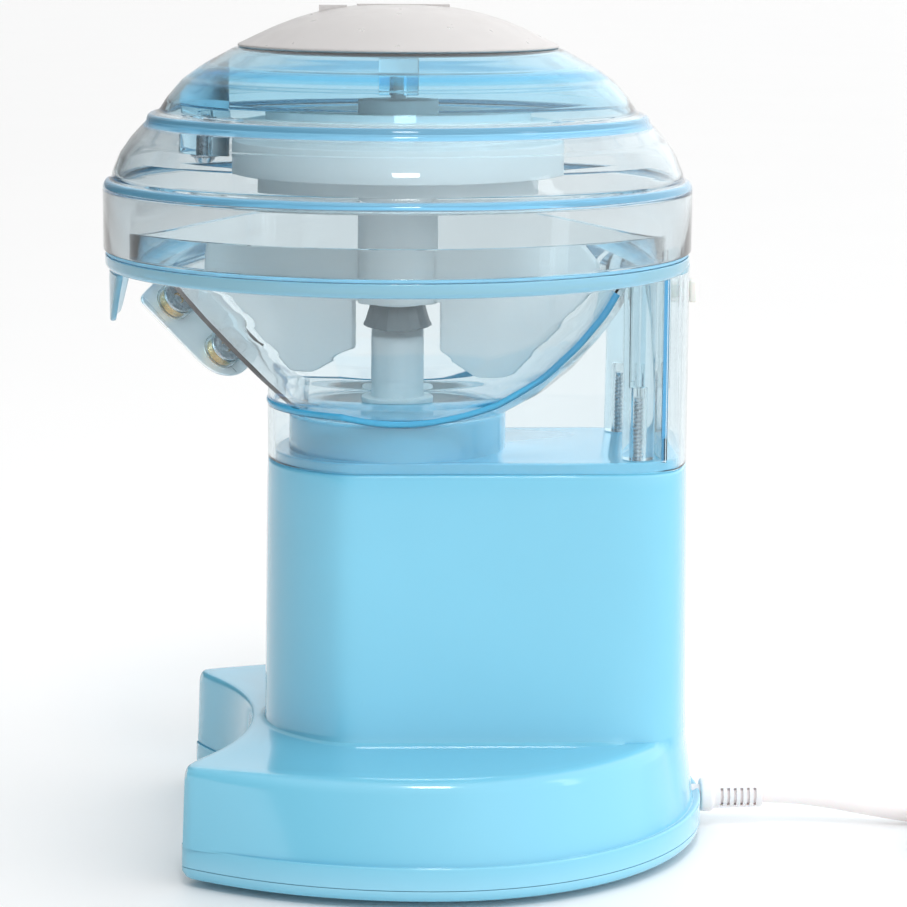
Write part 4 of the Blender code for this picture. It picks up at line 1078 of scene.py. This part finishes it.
def build_drum():
    bore = 16.4
    profile = ((bore, 262), (bore + 2.2, 262), (bore + 2.2, 292.3), (50.8, 292.3), (50.8, 282), (63.8, 282),
               (63.8, 272.7), (53.8, 272.7), (53.8, 262), (56, 262), (56, 270.5), (66, 270.5), (66, 284.2),
               (53, 284.2), (53, 294.5), (bore, 294.5))
    return lathe("drum", rounded(profile, 0.8, steps=3), SMOOTH)


def build_sleeve():
    profile = ((4.7, 172.9), (10.6, 172.9), (10.6, 178.8), (14.5, 178.8), (14.5, 181.8), (10.6, 181.8),
               (10.6, 206.5), (9.2, 208), (4.7, 208))
    return lathe("sleeve", rounded(profile, 0.6, steps=3), ROUND)


# ---- interlock


def build_interlock():
    low, high = extent("interlock_rod")
    profile = ((0, low.z), (1.6, low.z), (1.6, 154), (2.8, 154), (2.8, 155.6), (1.6, 155.6), (1.6, high.z),
               (0, high.z))
    rod = lathe("rod", rounded(profile, 0.25, steps=3), SMALL, ROD)
    show(rod, "white", "white_plastic", "interlock_rod", body="interlock")
    y = SLIDER_TOP.y - 1.2
    slider = block("slider", (-2.6, y - 1.2, high.z + 0.3), (2.6, y + 1.2, SLIDER_TOP.z), 0.35)
    join(slider, block("slider_foot", (-2.2, 105, high.z + 0.35), (2.2, y, high.z + 3.3), 0.35))
    show(slider, "boss", "clear_boss", "interlock_slider", body="interlock")
    knob_low, knob_high = extent("interlock_knob")
    knob = block("knob", (-3.8, knob_high.y - 3.5, knob_low.z), (3.8, knob_high.y, knob_high.z), 0.9)
    join(knob, block("stem", (-2, knob_low.y, 221.5), (2, knob_high.y - 1.5, 226.5), 0.3))
    show(knob, "white", "white_plastic", "interlock_knob", body="interlock")
    spring_low, spring_high = extent("interlock_spring")
    turns, steps, wire = 3.5, 28, 0.25
    points = []
    for step in range(int(turns * steps) + 1):
        angle = 2 * math.pi * step / steps
        rise = spring_low.z + wire + (spring_high.z - spring_low.z - 2 * wire) * step / (turns * steps)
        points.append(AXIS + Vector((math.cos(angle) * 2.2, ROD.y + math.sin(angle) * 2.2, rise)) * MM)
    wound = make_tube("spring_wire", points, wire * MM, 3)
    bpy.context.view_layer.update()
    graph = bpy.context.evaluated_depsgraph_get()
    spring = add_object("spring", bpy.data.meshes.new_from_object(wound.evaluated_get(graph)))
    spring.matrix_world = wound.matrix_world
    bpy.data.objects.remove(wound)
    shade(spring)
    show(spring, "steel", "screw_steel", "interlock_spring")
    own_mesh(spring)


# ---- assembly


def build_machine():
    build_cord()
    show(build_base(), "blue", "blue_shell", "base_housing")
    show(build_plate(), "blue", "blue_shell", "bottom_plate")
    build_feet()
    show(build_hopper(), "hopper", "clear_hopper", "upper_housing")
    show(build_bead(), "bead", "clear_hopper", "upper_housing")
    for number in (1, 2):
        make_screw(f"housing_fixing_{number}", f"housing_screw_{number}", (4.1, 154.7, 157.7), (1.9, 186),
                   middle(f"housing_screw_{number}"), pitch=1.6)
    show(build_blade(), "stainless", "stainless", "blade", body="blade")
    show(build_shield(), "shield", "clear_hopper", "front_deflector")
    seal = lathe("rim_seal", tube_profile(112.9, 116.2, 239.9, 240.9), SMOOTH)
    show(seal, "seal", "seal", "rim_gasket")
    build_lid()
    show(build_cap(), "frosted", "frosted_cap", "lid_cap", body="lid")
    show(build_bearing(), "boss", "clear_boss", "lid_bearing", body="lid")
    show(build_paddle(), "milky", "milky_plastic", "paddle", body="paddle")
    show(build_drum(), "milky", "milky_plastic", "pusher_drum", body="paddle")
    show(build_sleeve(), "milky", "milky_plastic", "shaft_sleeve")
    build_interlock()
    dress_frame()


def dress_frame():
    """Materials for the CAD nodes that stay, all of them inside the base."""
    looks = {
        "steel": ("motor_shaft", "bearing_top", "bearing_bottom", "motor_screw_1", "motor_screw_2",
                  "motor_screw_3", "bracket_screw", "switch_bracket", "switch_lever"),
        "cast": ("motor_bracket_top", "motor_bracket_bottom"),
        "copper": ("motor_stator", "motor_armature"),
        "dark": ("cooling_fan", "drive_coupling", "micro_switch"),
        "white": ("switch_plunger",),
    }
    for look, nodes in looks.items():
        for node in nodes:
            materials = frame["nodes"][node].data.materials
            materials.clear()
            materials.append(LOOKS[look])


LOOKS = make_materials()
make_camera()
make_stage()
build_machine()
